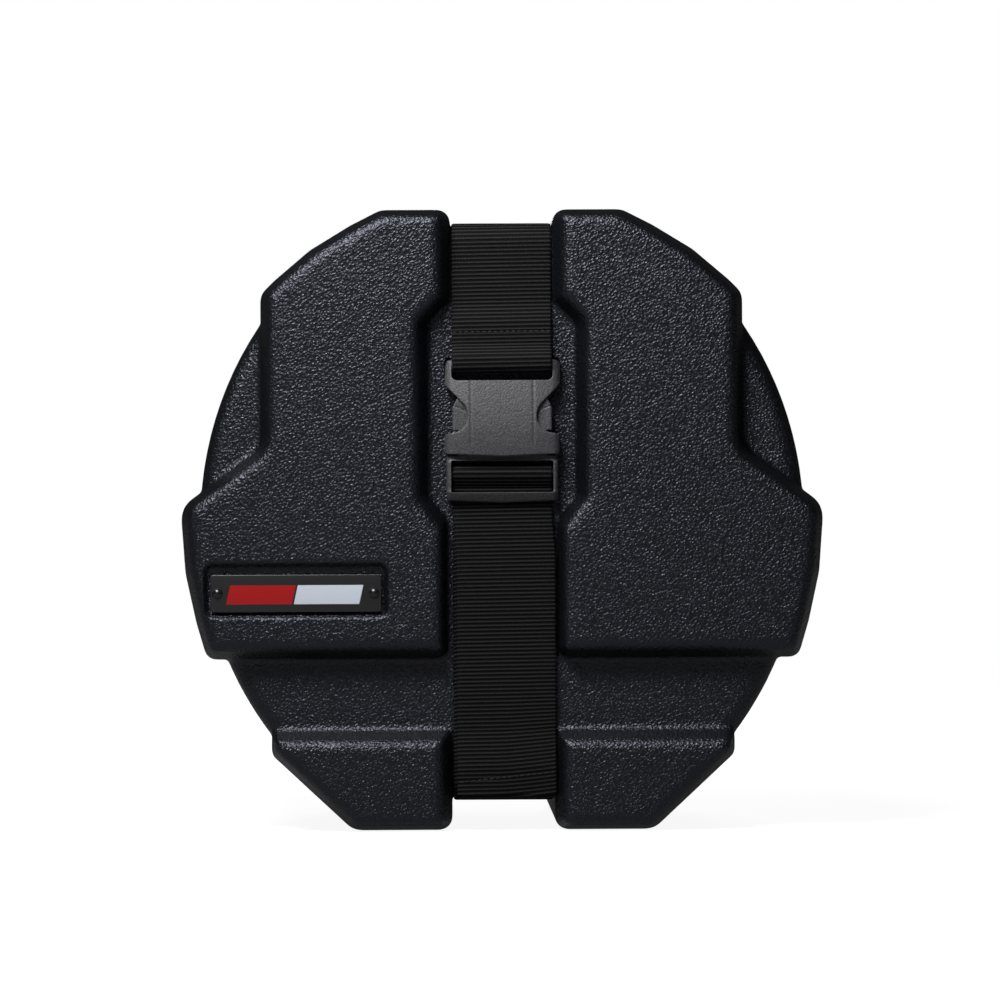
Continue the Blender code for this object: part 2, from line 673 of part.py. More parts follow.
def make_strap(finish):
    """The strap in the lengths that move apart when the case is let out or unbuckled."""
    top_start = HANDLE_START_Y - OVERRUN
    rear = ribbon(
        "strap_rear",
        [
            (top_start, STRAP_TOP_Z, 0),
            (STRAP_FACE_Y, STRAP_TOP_Z, STRAP_BEND),
            (STRAP_FACE_Y, STRAP_BOTTOM_Z, STRAP_BEND),
            (BEND_START_Y, STRAP_BOTTOM_Z, 0),
        ],
        WEBBING_WIDTH,
        finish,
    )
    cut_rivet_holes(rear, "strap_rivet_holes")
    top_run = [(-BEND_START_Y + GAP, STRAP_TOP_Z, 0), (top_start - GAP, STRAP_TOP_Z, 0)]
    ribbon("strap_top_run", top_run, WEBBING_WIDTH, finish)
    bottom_run = [(-BEND_START_Y + GAP, STRAP_BOTTOM_Z, 0), (BEND_START_Y - GAP, STRAP_BOTTOM_Z, 0)]
    ribbon("strap_bottom_run", bottom_run, WEBBING_WIDTH, finish)
    fold_end = SOCKET_BAR_Z + FOLD_END_RISE
    over_y = -STRAP_FACE_Y - LAYER
    loop_y = SOCKET_BAR_Y - SOCKET_LOOP
    loop_z = SOCKET_BAR_Z - SOCKET_LOOP
    ribbon(
        "strap_front_upper",
        [
            (-BEND_START_Y, STRAP_TOP_Z, 0),
            (-STRAP_FACE_Y, STRAP_TOP_Z, STRAP_BEND),
            (-STRAP_FACE_Y, fold_end + FOLD_LEAD, FOLD_BEND),
            (over_y, fold_end + WEBBING, FOLD_BEND),
            (over_y, SOCKET_BAR_Z + LOOP_LEAD + CROSS_DROP, LOOP_BEND),
            (loop_y, SOCKET_BAR_Z + LOOP_LEAD, LOOP_BEND),
            (loop_y, loop_z, SOCKET_LOOP),
            (-STRAP_FACE_Y, loop_z, SOCKET_LOOP),
            (-STRAP_FACE_Y, fold_end, 0),
        ],
        WEBBING_WIDTH,
        finish,
    )
    lower = [
        (-BEND_START_Y, STRAP_BOTTOM_Z, 0),
        (-STRAP_FACE_Y, STRAP_BOTTOM_Z, STRAP_BEND),
        (-STRAP_FACE_Y, INSERT_BOTTOM_Z, 0),
    ]
    ribbon("strap_front_lower", lower, WEBBING_WIDTH, finish)
    wrap_y = ADJUSTER_BAR_Y - ADJUSTER_LOOP
    wrap_z = ADJUSTER_BAR_Z + ADJUSTER_LOOP
    ribbon(
        "strap_adjuster_loop",
        [
            (-STRAP_FACE_Y, INSERT_BOTTOM_Z + GAP, 0),
            (-STRAP_FACE_Y, wrap_z, ADJUSTER_LOOP),
            (wrap_y, wrap_z, ADJUSTER_LOOP),
            (wrap_y, ADJUSTER_BAR_Z - ADJUSTER_LEAD, ADJUSTER_BEND),
            (over_y, ADJUSTER_BAR_Z - ADJUSTER_LEAD - ADJUSTER_DROP, ADJUSTER_BEND),
            (over_y, INSERT_BOTTOM_Z + GAP, 0),
        ],
        WEBBING_WIDTH,
        finish,
    )
    hem_y = over_y - LAYER
    hem_z = TAIL_END_Z + WEBBING / 2
    ribbon(
        "strap_tail",
        [
            (over_y, INSERT_BOTTOM_Z, 0),
            (over_y, hem_z + HEM_LENGTH + HEM_LEAD * 2, HEM_BEND),
            (hem_y, hem_z + HEM_LENGTH + WEBBING, HEM_BEND),
            (hem_y, hem_z, LAYER / 2),
            (over_y, hem_z, LAYER / 2),
            (over_y, hem_z + HEM_LENGTH, 0),
        ],
        WEBBING_WIDTH,
        finish,
    )


# Buckle, both halves
SOCKET_THICKNESS = 0.0128
SOCKET_BOW_RADIUS = 0.40
SOCKET_BAND = 0.0096
SOCKET_NECK_SHARE = 0.5966
SOCKET_NECK_RISE = 0.0023
SOCKET_NECK_LENGTH = 0.0109
SOCKET_SHOULDER_RISE = 0.0121
SOCKET_PLATE_HEIGHT = 0.0368
SOCKET_WALL = 0.0027
SOCKET_END_WALL = 0.004
SOCKET_BAND_SIDE = 0.0064
SOCKET_EDGE = 0.0015
SOCKET_CORNER = 0.002
SOCKET_LOWER_CURVE = 0.008
SOCKET_UPPER_CURVE = 0.005
BUCKLE_CLEARANCE = 0.0004
INSERT_FRONT_SETBACK = 0.0032
LOWER_BAR_HEIGHT = 0.0051
CROSSBAR_HEIGHT = 0.0021
INSERT_CORNER = 0.0025
INSERT_EDGE = 0.001
MOUTH_BLOCK_RISE = 0.0018
TONGUE_WIDTH = 0.014
TONGUE_RISE = 0.0293
TONGUE_TIP_WIDTH = 0.008
TONGUE_TIP_RISE = 0.004
ARM_BEAM = 0.0025
ARM_PAD_OUT = 0.0028
ARM_PAD_IN = 0.0027
ARM_PAD_HEIGHT = 0.0168
ARM_PAD_SLOPE = 0.0054
ARM_PAD_RADIUS = 0.002
ARM_STEP_CLEARANCE = 0.001
ARM_CLEARANCE = 0.0005
ARM_PIVOT_RISE = 0.0003
ARM_FOOT_RISE = 0.0007
SOCKET_PLATE_TOP_Z = SOCKET_BOTTOM_Z + SOCKET_PLATE_HEIGHT
SOCKET_MOUTH_WIDTH = SOCKET_WIDTH - SOCKET_BAND_SIDE * 2
MOUTH_BLOCK_TOP_Z = SOCKET_BOTTOM_Z + MOUTH_BLOCK_RISE
TONGUE_TIP_Z = SOCKET_BOTTOM_Z + TONGUE_RISE
SOCKET_BACK_Y = -FACE_Y - GAP * 2
SOCKET_FRONT_Y = SOCKET_BACK_Y - SOCKET_THICKNESS
CAVITY_BACK_Y = SOCKET_BACK_Y - SOCKET_WALL
CAVITY_FRONT_Y = SOCKET_FRONT_Y + SOCKET_WALL
ARM_OUTER_X = SOCKET_MOUTH_WIDTH / 2 - ARM_STEP_CLEARANCE / 2
ARM_PIVOT_X = ARM_OUTER_X - ARM_BEAM / 2
ARM_PIVOT_Z = MOUTH_BLOCK_TOP_Z + ARM_PIVOT_RISE


def edged(corners, back_y, front_y, edge):
    """Rings of a moulded plate whose front and back edges are eased."""
    eased = rounded(inset(corners, [edge] * len(corners)))
    full = rounded(corners)
    return [
        upright(eased, back_y),
        upright(full, back_y - edge),
        upright(full, front_y + edge),
        upright(eased, front_y),
    ]


def cross_bar(name, radius, reach, depth_y, up):
    """A round bar that the webbing turns over."""
    rings = turned([(radius, -reach), (radius, reach)], (0, depth_y, up), (1, 0, 0))
    return loft(name, rings)


def both_halves(right):
    """An anticlockwise outline from the corners of its right half."""
    left = [(-across, up, radius) for across, up, radius in reversed(right) if across > 0]
    return right + left


def make_socket(finish):
    """The female half: waisted body, webbing bar between two ears, and an open mouth below."""
    half = SOCKET_WIDTH / 2
    neck = half * SOCKET_NECK_SHARE
    band_top = SOCKET_BOTTOM_Z + SOCKET_BAND
    neck_low = band_top + SOCKET_NECK_RISE
    neck_high = neck_low + SOCKET_NECK_LENGTH
    outline = both_halves([
        (0, SOCKET_BOTTOM_Z - SOCKET_BOW, SOCKET_BOW_RADIUS),
        (half, SOCKET_BOTTOM_Z, SOCKET_CORNER),
        (half, band_top, SOCKET_EDGE),
        (neck, neck_low, SOCKET_LOWER_CURVE),
        (neck, neck_high, SOCKET_UPPER_CURVE),
        (half, neck_high + SOCKET_SHOULDER_RISE, SOCKET_CORNER),
        (half, SOCKET_TOP_Z, SOCKET_CORNER),
    ])
    rings = edged(outline, SOCKET_BACK_Y, SOCKET_FRONT_Y, SOCKET_EDGE)
    socket = loft("buckle_socket", rings, finish)
    mouth = SOCKET_MOUTH_WIDTH / 2
    cavity = box(
        "socket_cavity",
        (-mouth, CAVITY_FRONT_Y, SOCKET_BOTTOM_Z - SOCKET_BAND),
        (mouth, CAVITY_BACK_Y, SOCKET_PLATE_TOP_Z - SOCKET_END_WALL),
    )
    combine(socket, cavity, "DIFFERENCE")
    ear = WEBBING_WIDTH / 2 + EAR_CLEARANCE
    slot = box(
        "socket_slot",
        (-ear, SOCKET_FRONT_Y - OVERRUN, SOCKET_PLATE_TOP_Z),
        (ear, SOCKET_BACK_Y + OVERRUN, SOCKET_TOP_Z + OVERRUN),
    )
    combine(socket, slot, "DIFFERENCE")
    bar = cross_bar("socket_bar", SOCKET_BAR_RADIUS, ear + SOCKET_EDGE, SOCKET_BAR_Y, SOCKET_BAR_Z)
    combine(socket, bar, "UNION")


def make_insert(finish):
    """The male half: adjuster frame with its bars, mouth block and guide tongue."""
    half = INSERT_WIDTH / 2
    front_y = SOCKET_FRONT_Y + INSERT_FRONT_SETBACK
    outline = both_halves([
        (0, INSERT_BOTTOM_Z - SOCKET_BOW / 2, SOCKET_BOW_RADIUS),
        (half, INSERT_BOTTOM_Z + SOCKET_BOW / 2, INSERT_CORNER),
        (half, INSERT_TOP_Z, INSERT_EDGE),
    ])
    insert = loft("buckle_insert", edged(outline, SOCKET_BACK_Y, front_y, INSERT_EDGE), finish)
    opening = WEBBING_WIDTH / 2 + INSERT_SIDE_CLEARANCE
    window_top = INSERT_TOP_Z - CROSSBAR_HEIGHT
    window = box(
        "adjuster_window",
        (-opening, front_y - OVERRUN, INSERT_BOTTOM_Z + LOWER_BAR_HEIGHT),
        (opening, SOCKET_BACK_Y + OVERRUN, window_top),
    )
    combine(insert, window, "DIFFERENCE")
    passage = box(
        "adjuster_passage",
        (-opening, -STRAP_FACE_Y - LAYER - LAYER / 2, INSERT_BOTTOM_Z - SOCKET_BAND),
        (opening, SOCKET_BACK_Y + OVERRUN, window_top - GAP),
    )
    combine(insert, passage, "DIFFERENCE")
    bar_reach = opening + INSERT_EDGE
    bar = cross_bar("adjuster_bar", ADJUSTER_BAR_RADIUS, bar_reach, ADJUSTER_BAR_Y, ADJUSTER_BAR_Z)
    combine(insert, bar, "UNION")
    block = SOCKET_MOUTH_WIDTH / 2 - BUCKLE_CLEARANCE
    mouth = box(
        "mouth_block",
        (-block, CAVITY_FRONT_Y + BUCKLE_CLEARANCE, window_top + CROSSBAR_HEIGHT / 2),
        (block, CAVITY_BACK_Y - BUCKLE_CLEARANCE, MOUTH_BLOCK_TOP_Z),
    )
    combine(insert, mouth, "UNION")
    tongue = rounded([
        (-TONGUE_WIDTH / 2, INSERT_TOP_Z, 0),
        (TONGUE_WIDTH / 2, INSERT_TOP_Z, 0),
        (TONGUE_WIDTH / 2, TONGUE_TIP_Z - TONGUE_TIP_RISE, 0),
        (TONGUE_TIP_WIDTH / 2, TONGUE_TIP_Z, 0),
        (-TONGUE_TIP_WIDTH / 2, TONGUE_TIP_Z, 0),
        (-TONGUE_WIDTH / 2, TONGUE_TIP_Z - TONGUE_TIP_RISE, 0),
    ])
    low_y = CAVITY_BACK_Y - ARM_CLEARANCE
    high_y = CAVITY_FRONT_Y + ARM_CLEARANCE
    guide = loft("guide_tongue", [upright(tongue, low_y), upright(tongue, high_y)])
    combine(insert, guide, "UNION")


def make_arm(name, side, finish):
    """One sprung release arm: a thin beam that carries the pad pressed by a finger."""
    low = MOUTH_BLOCK_TOP_Z + ARM_FOOT_RISE
    outer = ARM_OUTER_X
    inner = outer - ARM_BEAM
    step_z = SOCKET_BOTTOM_Z + SOCKET_BAND + SOCKET_NECK_RISE
    pad_top = step_z + ARM_PAD_HEIGHT
    corners = [
        (inner, low, 0),
        (outer, low, 0),
        (outer, step_z, GAP),
        (outer + ARM_PAD_OUT, step_z, GAP),
        (outer + ARM_PAD_OUT, pad_top - ARM_PAD_SLOPE, ARM_PAD_RADIUS),
        (outer, pad_top, ARM_PAD_RADIUS),
        (inner, pad_top, ARM_PAD_RADIUS),
        (inner - ARM_PAD_IN, pad_top - ARM_PAD_IN, ARM_PAD_RADIUS),
        (inner - ARM_PAD_IN, step_z + ARM_PAD_IN, ARM_PAD_RADIUS),
        (inner, step_z - ARM_PAD_IN, ARM_PAD_RADIUS),
    ]
    outline = rounded(corners if side > 0 else mirrored(corners))
    rings = [
        upright(outline, CAVITY_BACK_Y - ARM_CLEARANCE),
        upright(outline, CAVITY_FRONT_Y + ARM_CLEARANCE),
    ]
    pivot_y = (CAVITY_BACK_Y + CAVITY_FRONT_Y) / 2
    loft(name, rings, finish, origin=(side * ARM_PIVOT_X, pivot_y, ARM_PIVOT_Z))


# Handle on the rear half of the top channel
GRIP_LENGTH_SHARE = 0.517
GRIP_SIDE = 0.002
GRIP_HEIGHT = 0.0055
GRIP_RADIUS = 0.002
GRIP_SLOT_CLEARANCE = 0.0003
GRIP_SIDE_CLEARANCE = 0.0003
HANDLE_RISE_RUN = 0.008
HANDLE_BEND = 0.008
RIVET_HEAD = 0.009
RIVET_DOME = 0.0016
RIVET_CROWN_SHARE = 0.67
RIVET_TAIL = 0.0072
RIVET_TAIL_HEIGHT = 0.0009
WASHER_DIAMETER = 0.012
WASHER = 0.001
GROOVE_MARGIN = 0.0015
STRAP_SURFACE_Z = STRAP_TOP_Z + WEBBING / 2
GRIP_LOW_Z = STRAP_SURFACE_Z + GAP
GRIP_CENTRE_Z = GRIP_LOW_Z + GRIP_HEIGHT / 2
HANDLE_LOW_Z = STRAP_SURFACE_Z + GAP + WEBBING / 2
HANDLE_CENTRE_Y = (HANDLE_START_Y + HANDLE_END_Y) / 2
GRIP_LENGTH = HANDLE_LENGTH * GRIP_LENGTH_SHARE
GRIP_WIDTH = HANDLE_WIDTH + GRIP_SIDE * 2


def make_handle(webbing_finish, grip_finish):
    """Flat webbing handle with a moulded grip, lying on the strap."""
    grip_half = GRIP_LENGTH / 2
    near = HANDLE_CENTRE_Y - grip_half
    far = HANDLE_CENTRE_Y + grip_half
    handle = ribbon(
        "handle_webbing",
        [
            (HANDLE_START_Y, HANDLE_LOW_Z, 0),
            (near - HANDLE_RISE_RUN, HANDLE_LOW_Z, HANDLE_BEND),
            (near, GRIP_CENTRE_Z, HANDLE_BEND),
            (far, GRIP_CENTRE_Z, HANDLE_BEND),
            (far + HANDLE_RISE_RUN, HANDLE_LOW_Z, HANDLE_BEND),
            (HANDLE_END_Y, HANDLE_LOW_Z, 0),
        ],
        HANDLE_WIDTH,
        webbing_finish,
    )
    cut_rivet_holes(handle, "handle_rivet_holes")
    half = GRIP_WIDTH / 2
    section = rectangle(-half, half, GRIP_LOW_Z, GRIP_LOW_Z + GRIP_HEIGHT, GRIP_RADIUS)
    eased = rounded(inset(section, [GRIP_RADIUS / 2] * len(section)))
    full = rounded(section)
    rings = [
        upright(eased, near),
        upright(full, near + GRIP_RADIUS / 2),
        upright(full, far - GRIP_RADIUS / 2),
        upright(eased, far),
    ]
    grip = loft("handle_grip", rings, grip_finish)
    slot_half = HANDLE_WIDTH / 2 + GRIP_SIDE_CLEARANCE
    slot_rise = WEBBING / 2 + GRIP_SLOT_CLEARANCE
    slot = box(
        "grip_slot",
        (-slot_half, near - OVERRUN, GRIP_CENTRE_Z - slot_rise),
        (slot_half, far + OVERRUN, GRIP_CENTRE_Z + slot_rise),
    )
    combine(grip, slot, "DIFFERENCE")


def make_handle_rivets(rivet_finish, washer_finish, rear_liner):
    """Four rivets through handle, strap and shell, closed over washers inside the shell."""
    head = RIVET_HEAD / 2
    shank = RIVET_SHANK / 2
    tail = RIVET_TAIL / 2
    top_z = HANDLE_LOW_Z + WEBBING / 2 + GAP
    washer_top = INNER_TOP_Z - GAP
    tail_top = washer_top - WASHER - GAP
    rivet_profile = [
        (tail, tail_top - RIVET_TAIL_HEIGHT),
        (tail, tail_top),
        (shank, tail_top),
        (shank, top_z),
        (head, top_z),
        (head * RIVET_CROWN_SHARE, top_z + RIVET_DOME),
    ]
    washer_inner = shank + GAP
    washer_outer = WASHER_DIAMETER / 2
    washer_profile = [
        (washer_outer, washer_top - WASHER),
        (washer_outer, washer_top),
        (washer_inner, washer_top),
        (washer_inner, washer_top - WASHER),
    ]
    for number, (across, along) in enumerate(handle_rivet_places(), start=1):
        centre = (across, along, 0)
        loft(f"handle_rivet_{number}", turned(rivet_profile, centre, (0, 0, 1)), rivet_finish)
        washer = turned(washer_profile, centre, (0, 0, 1))
        loft(f"rivet_washer_{number}", washer, washer_finish, closed=True)
    reach = HANDLE_RIVET_SPACING / 2 + WASHER_DIAMETER / 2 + GROOVE_MARGIN
    ends = [along for across, along in handle_rivet_places()]
    margin = WASHER_DIAMETER / 2 + GROOVE_MARGIN
    groove = box(
        "liner_groove",
        (-reach, min(ends) - margin, tail_top - RIVET_TAIL_HEIGHT - GAP),
        (reach, max(ends) + margin, INNER_TOP_Z + OVERRUN),
    )
    combine(rear_liner, groove, "DIFFERENCE")


def main():
    clear_scene()
    polyethylene = material("black_polyethylene", (0.016, 0.017, 0.021), 0.42)
    foam = material("grey_foam", (0.035, 0.035, 0.037), 0.95)
    webbing = material("black_webbing", (0.008, 0.008, 0.009), 0.80)
    handle_webbing = material("black_handle_webbing", (0.009, 0.009, 0.010), 0.80)
    acetal = material("grey_acetal", (0.085, 0.086, 0.090), 0.45)
    sleeve = material("black_grip_rubber", (0.014, 0.014, 0.015), 0.60)
    plate = material("dark_nameplate", (0.022, 0.022, 0.024), 0.40)
    black_rivet = material("black_rivet", (0.020, 0.020, 0.020), 0.35, 0.6)
    steel = material("plated_steel", (0.45, 0.45, 0.46), 0.30, 1.0)

    front, front_hollows = make_shell("front_shell", FRONT, polyethylene)
    cut_name_recess(front, front_hollows)
    rear, rear_hollows = make_shell("rear_shell", REAR, polyethylene)
    make_nameplate(plate)
    make_plate_rivets(black_rivet)
    rear_liner = make_foam(foam)
    make_strap(webbing)
    make_socket(acetal)
    make_insert(acetal)
    make_arm("release_arm_left", -1, acetal)
    make_arm("release_arm_right", 1, acetal)
    make_handle(handle_webbing, sleeve)
    make_handle_rivets(black_rivet, steel, rear_liner)


main()
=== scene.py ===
import math

import bmesh
import bpy
import numpy as np
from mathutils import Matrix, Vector


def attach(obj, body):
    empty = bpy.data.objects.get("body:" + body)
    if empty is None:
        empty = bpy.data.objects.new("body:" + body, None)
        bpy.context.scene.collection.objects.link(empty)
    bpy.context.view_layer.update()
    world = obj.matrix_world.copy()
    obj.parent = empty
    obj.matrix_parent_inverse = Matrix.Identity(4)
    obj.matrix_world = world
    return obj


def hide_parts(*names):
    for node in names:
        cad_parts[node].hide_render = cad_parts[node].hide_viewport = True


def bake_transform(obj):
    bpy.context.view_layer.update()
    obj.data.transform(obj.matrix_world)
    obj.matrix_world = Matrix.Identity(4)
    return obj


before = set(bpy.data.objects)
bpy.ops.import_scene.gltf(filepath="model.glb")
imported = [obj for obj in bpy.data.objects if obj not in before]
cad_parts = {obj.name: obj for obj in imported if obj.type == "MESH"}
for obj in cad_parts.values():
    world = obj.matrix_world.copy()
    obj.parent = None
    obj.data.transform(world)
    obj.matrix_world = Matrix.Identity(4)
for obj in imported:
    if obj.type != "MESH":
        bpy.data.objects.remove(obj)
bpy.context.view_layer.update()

# Shells
# The lid and the rear shell, each rotationally moulded in one from black polyethylene with a
# pebble grain. Raised blocks carry stacking loads, feet stand the case up, and every edge and
# inner corner has the soft radius that this way of moulding leaves. Lengths in metres.

HALF_DEPTH = 0.140
FACE_Y = 0.126
PARTING_Y = -0.02996
RIM_GAP = 0.0003
WALL = 0.004
BODY_HALF = (0.152, 0.16596)
BODY_CENTRE_Z = 0.1543
CHANNEL_BOTTOM_Z = 0.017
CHANNEL_TOP_Z = 0.3024
BODY_EDGE_RADIUS = 0.008
BLOCK_EDGE_RADIUS = 0.0038
LIP_STEPS = ((0.006, 0.0022), (-0.0004, 0.0010), (-0.0016, 0.0003), (-0.003, 0.0))
TONGUE_REACH = 0.014
TONGUE_ROOT = 0.010
TONGUE_FACES = (0.0044, 0.0074)
TONGUE_CHAMFER = (0.0006, 0.0008)
TONGUE_STEP = 0.0006
TONGUE_OVERLAP = 0.001
TONGUE_SLOPE = 0.003
SHELL_MOULDING = (0.0012, 6, 0.42)
SHARP_DEGREES = 50
OUTLINE_STEPS = 40
LEAST_RADIUS = 0.0004
CUP_OVERLAP = 0.012
CUP_CORNER = 0.004
CUP_CORNER_STEP = 0.0012
TRIM_SQUARE = [(-0.2, -0.05), (0.2, -0.05), (0.2, 0.36), (-0.2, 0.36)]
TRIM_DEPTH = 0.05
CHANNEL_HALF = 0.0257
LOWER_CHANNEL_HALF = 0.0283
BLOCK_CORNERS = [
    (CHANNEL_HALF, 0.0860, 0.005), (0.14845, 0.0860, 0.006), (0.161, 0.12892, 0.177),
    (0.161, 0.16286, 0.012), (0.12107, 0.19213, 0.012), (0.12107, 0.26905, 0.008),
    (0.09724, 0.29272, 0.150), (0.06054, 0.3114, 0.010), (CHANNEL_HALF, 0.3114, 0.0065),
]
BLOCK_DRAFTS = [0.38, 0.32, 0.32, 0.30, 0.30, 0.28, 0.28, 0.25, 0.38]
BUCKLE_RECESS_CORNERS = [
    (CHANNEL_HALF, 0.26601, 0.005), (0.0373, 0.25401, 0.005), (0.0373, 0.16801, 0.005),
    (LOWER_CHANNEL_HALF, 0.15601, 0.005)]
BUCKLE_RECESS_DRAFTS = [0.38, 0.38, 0.38, 0.17]
FOOT_CORNERS = [
    (CHANNEL_HALF, 0.0, 0.0065), (0.0755, 0.0, 0.010), (0.1163, 0.0380, 0.005),
    (0.1163, 0.0503, 0.003), (CHANNEL_HALF, 0.0503, 0.003),
]
FOOT_DRAFTS = [0.25, 0.28, 0.25, 0.40, 0.38]
NAME_RECESS = (-0.1502, -0.0570, 0.1065, 0.1349)
NAME_RECESS_RIM = (
    (-0.1412, -0.0016), (-0.1402, -0.0008), (-0.1399, 0.0), (-0.1394, 0.0006), (-0.1386, 0.0012),
    (-0.1378, 0.0018), (-0.1371, 0.0024), (-0.1367, 0.0030),
)
NAME_RECESS_CORNER = 0.005
NAME_PAD = (-0.1454, -0.0619, 0.11094, 0.12764)
NAME_PAD_DEPTHS = (-0.1350, -0.1377)


def rounded(corners, step_degrees=12, closed=True):
    """Points of an outline whose (x, z, radius) corners are true arcs."""
    count = len(corners)
    spots = [Vector(corner[:2]) for corner in corners]
    turns = []
    for index in range(count):
        into = spots[index] - spots[index - 1]
        out = spots[(index + 1) % count] - spots[index]
        turns.append(0.0 if not closed and index in (0, count - 1) else into.angle_signed(out))
    reaches = [corners[i][2] * math.tan(abs(turns[i]) / 2) for i in range(count)]
    room = []
    for index in range(count):
        edge = (spots[(index + 1) % count] - spots[index]).length
        wanted = reaches[index] + reaches[(index + 1) % count]
        room.append(min(1.0, 0.97 * edge / wanted) if wanted > 0 else 1.0)
    points = []
    for index in range(count):
        reach = reaches[index] * min(room[index - 1], room[index])
        if reach <= 0:
            points.append(spots[index])
            continue
        turn = abs(turns[index])
        into = (spots[index] - spots[index - 1]).normalized()
        side = Vector((-into.y, into.x)) * (-1 if turns[index] > 0 else 1)
        radius = reach / math.tan(turn / 2)
        centre = spots[index] - into * reach + side * radius
        steps = max(2, math.ceil(math.degrees(turn) / step_degrees))
        for step in range(steps + 1):
            angle = turn * step / steps
            points.append(centre - side * radius * math.cos(angle) + into * radius * math.sin(angle))
    return points


def inset(corners, distances):
    """Each edge of an anticlockwise outline moved inwards by its own distance."""
    moved = []
    for index, (across, up, radius) in enumerate(corners):
        here = Vector((across, up))
        into = (here - Vector(corners[index - 1][:2])).normalized()
        out = (Vector(corners[(index + 1) % len(corners)][:2]) - here).normalized()
        first, second = distances[index - 1], distances[index]
        turn = into.x * out.y - into.y * out.x
        shift = (out * first - into * second) / turn
        eased = max(radius - math.copysign((first + second) / 2, turn), LEAST_RADIUS)
        moved.append((across + shift.x, up + shift.y, eased))
    return moved


def mirrored(corners):
    """The same outline on the other side of the case."""
    return [(-across, up, radius) for across, up, radius in reversed(corners)]


def standing(outline, depth):
    """An outline across and up the case, stood at one depth."""
    return [(point[0], depth, point[1]) for point in outline]


def skin(rings, closed=False):
    """Points and faces of a solid through rings of equal size, capped or joined end to end."""
    size = len(rings[0])
    points = [tuple(point) for ring in rings for point in ring]
    faces = []
    for span in range(len(rings) if closed else len(rings) - 1):
        low, high = span * size, (span + 1) % len(rings) * size
        for index in range(size):
            after = (index + 1) % size
            faces.append((low + index, high + index, high + after, low + after))
    if not closed:
        faces.append(tuple(range(size)))
        faces.append(tuple(range(len(points) - size, len(points))))
    return points, faces


def placed(name, data):
    """A new object in the scene, at the origin."""
    piece = bpy.data.objects.new(name, data)
    bpy.context.scene.collection.objects.link(piece)
    return piece


def solid_piece(name, *skins):
    """One mesh object from closed skins, with doubles merged and every face pointing out."""
    made = bmesh.new()
    for points, faces in skins:
        corners = [made.verts.new(point) for point in points]
        for face in faces:
            made.faces.new([corners[index] for index in face])
    bmesh.ops.remove_doubles(made, verts=made.verts, dist=1e-7)
    bmesh.ops.recalc_face_normals(made, faces=made.faces)
    mesh = bpy.data.meshes.new(name)
    made.to_mesh(mesh)
    made.free()
    return placed(name, mesh)


def baked(piece):
    """The piece with its modifiers made part of its mesh."""
    bpy.context.view_layer.update()
    mesh = bpy.data.meshes.new_from_object(piece.evaluated_get(bpy.context.evaluated_depsgraph_get()))
    piece.modifiers.clear()
    old = piece.data
    piece.data = mesh
    mesh.name = piece.name
    bpy.data.meshes.remove(old)
    return piece


def carve(piece, tool, operation="DIFFERENCE"):
    """Cut the tool out of the piece, or join it on, and throw the tool away."""
    step = piece.modifiers.new("carve", "BOOLEAN")
    step.operation = operation
    step.solver = "MANIFOLD"
    step.object = tool
    baked(piece)
    bpy.data.objects.remove(tool)
    return piece


def softened(piece, moulding, shape=None):
    """The piece as one moulding, its front shaped by a rule and every edge eased.

    moulding is the voxel's size, the passes of smoothing and the share of faces that is kept.
    """
    voxel, passes, keep = moulding
    remesh = piece.modifiers.new("one moulding", "REMESH")
    remesh.mode = "VOXEL"
    remesh.voxel_size = voxel
    baked(piece)
    if shape:
        points = np.empty(len(piece.data.vertices) * 3, np.float32)
        piece.data.vertices.foreach_get("co", points)
        points = points.reshape(-1, 3)
        points[:, 1] += shape(points[:, 0], points[:, 1], points[:, 2])
        piece.data.vertices.foreach_set("co", points.reshape(-1))
    ease = piece.modifiers.new("soft edges", "SMOOTH")
    ease.factor = 0.5
    ease.iterations = passes
    thin = piece.modifiers.new("fewer faces", "DECIMATE")
    thin.ratio = keep
    return baked(piece)


def box_corners(box, radius=0.0):
    """The corners of a low x, high x, low z, high z box, each with this radius."""
    left, right, low, high = box
    return [(left, low, radius), (right, low, radius), (right, high, radius), (left, high, radius)]


def body_outline(shrink):
    """The round body, cut flat under the strap at the top and bottom, drawn in by a distance."""
    half_width, half_height = BODY_HALF[0] - shrink, BODY_HALF[1] - shrink
    low = math.asin((CHANNEL_BOTTOM_Z + shrink - BODY_CENTRE_Z) / half_height)
    high = math.asin((CHANNEL_TOP_Z - shrink - BODY_CENTRE_Z) / half_height)
    angles = [low + (high - low) * step / OUTLINE_STEPS for step in range(OUTLINE_STEPS + 1)]
    right = [(half_width * math.cos(a), BODY_CENTRE_Z + half_height * math.sin(a)) for a in angles]
    return right + [(-across, up) for across, up in reversed(right)]


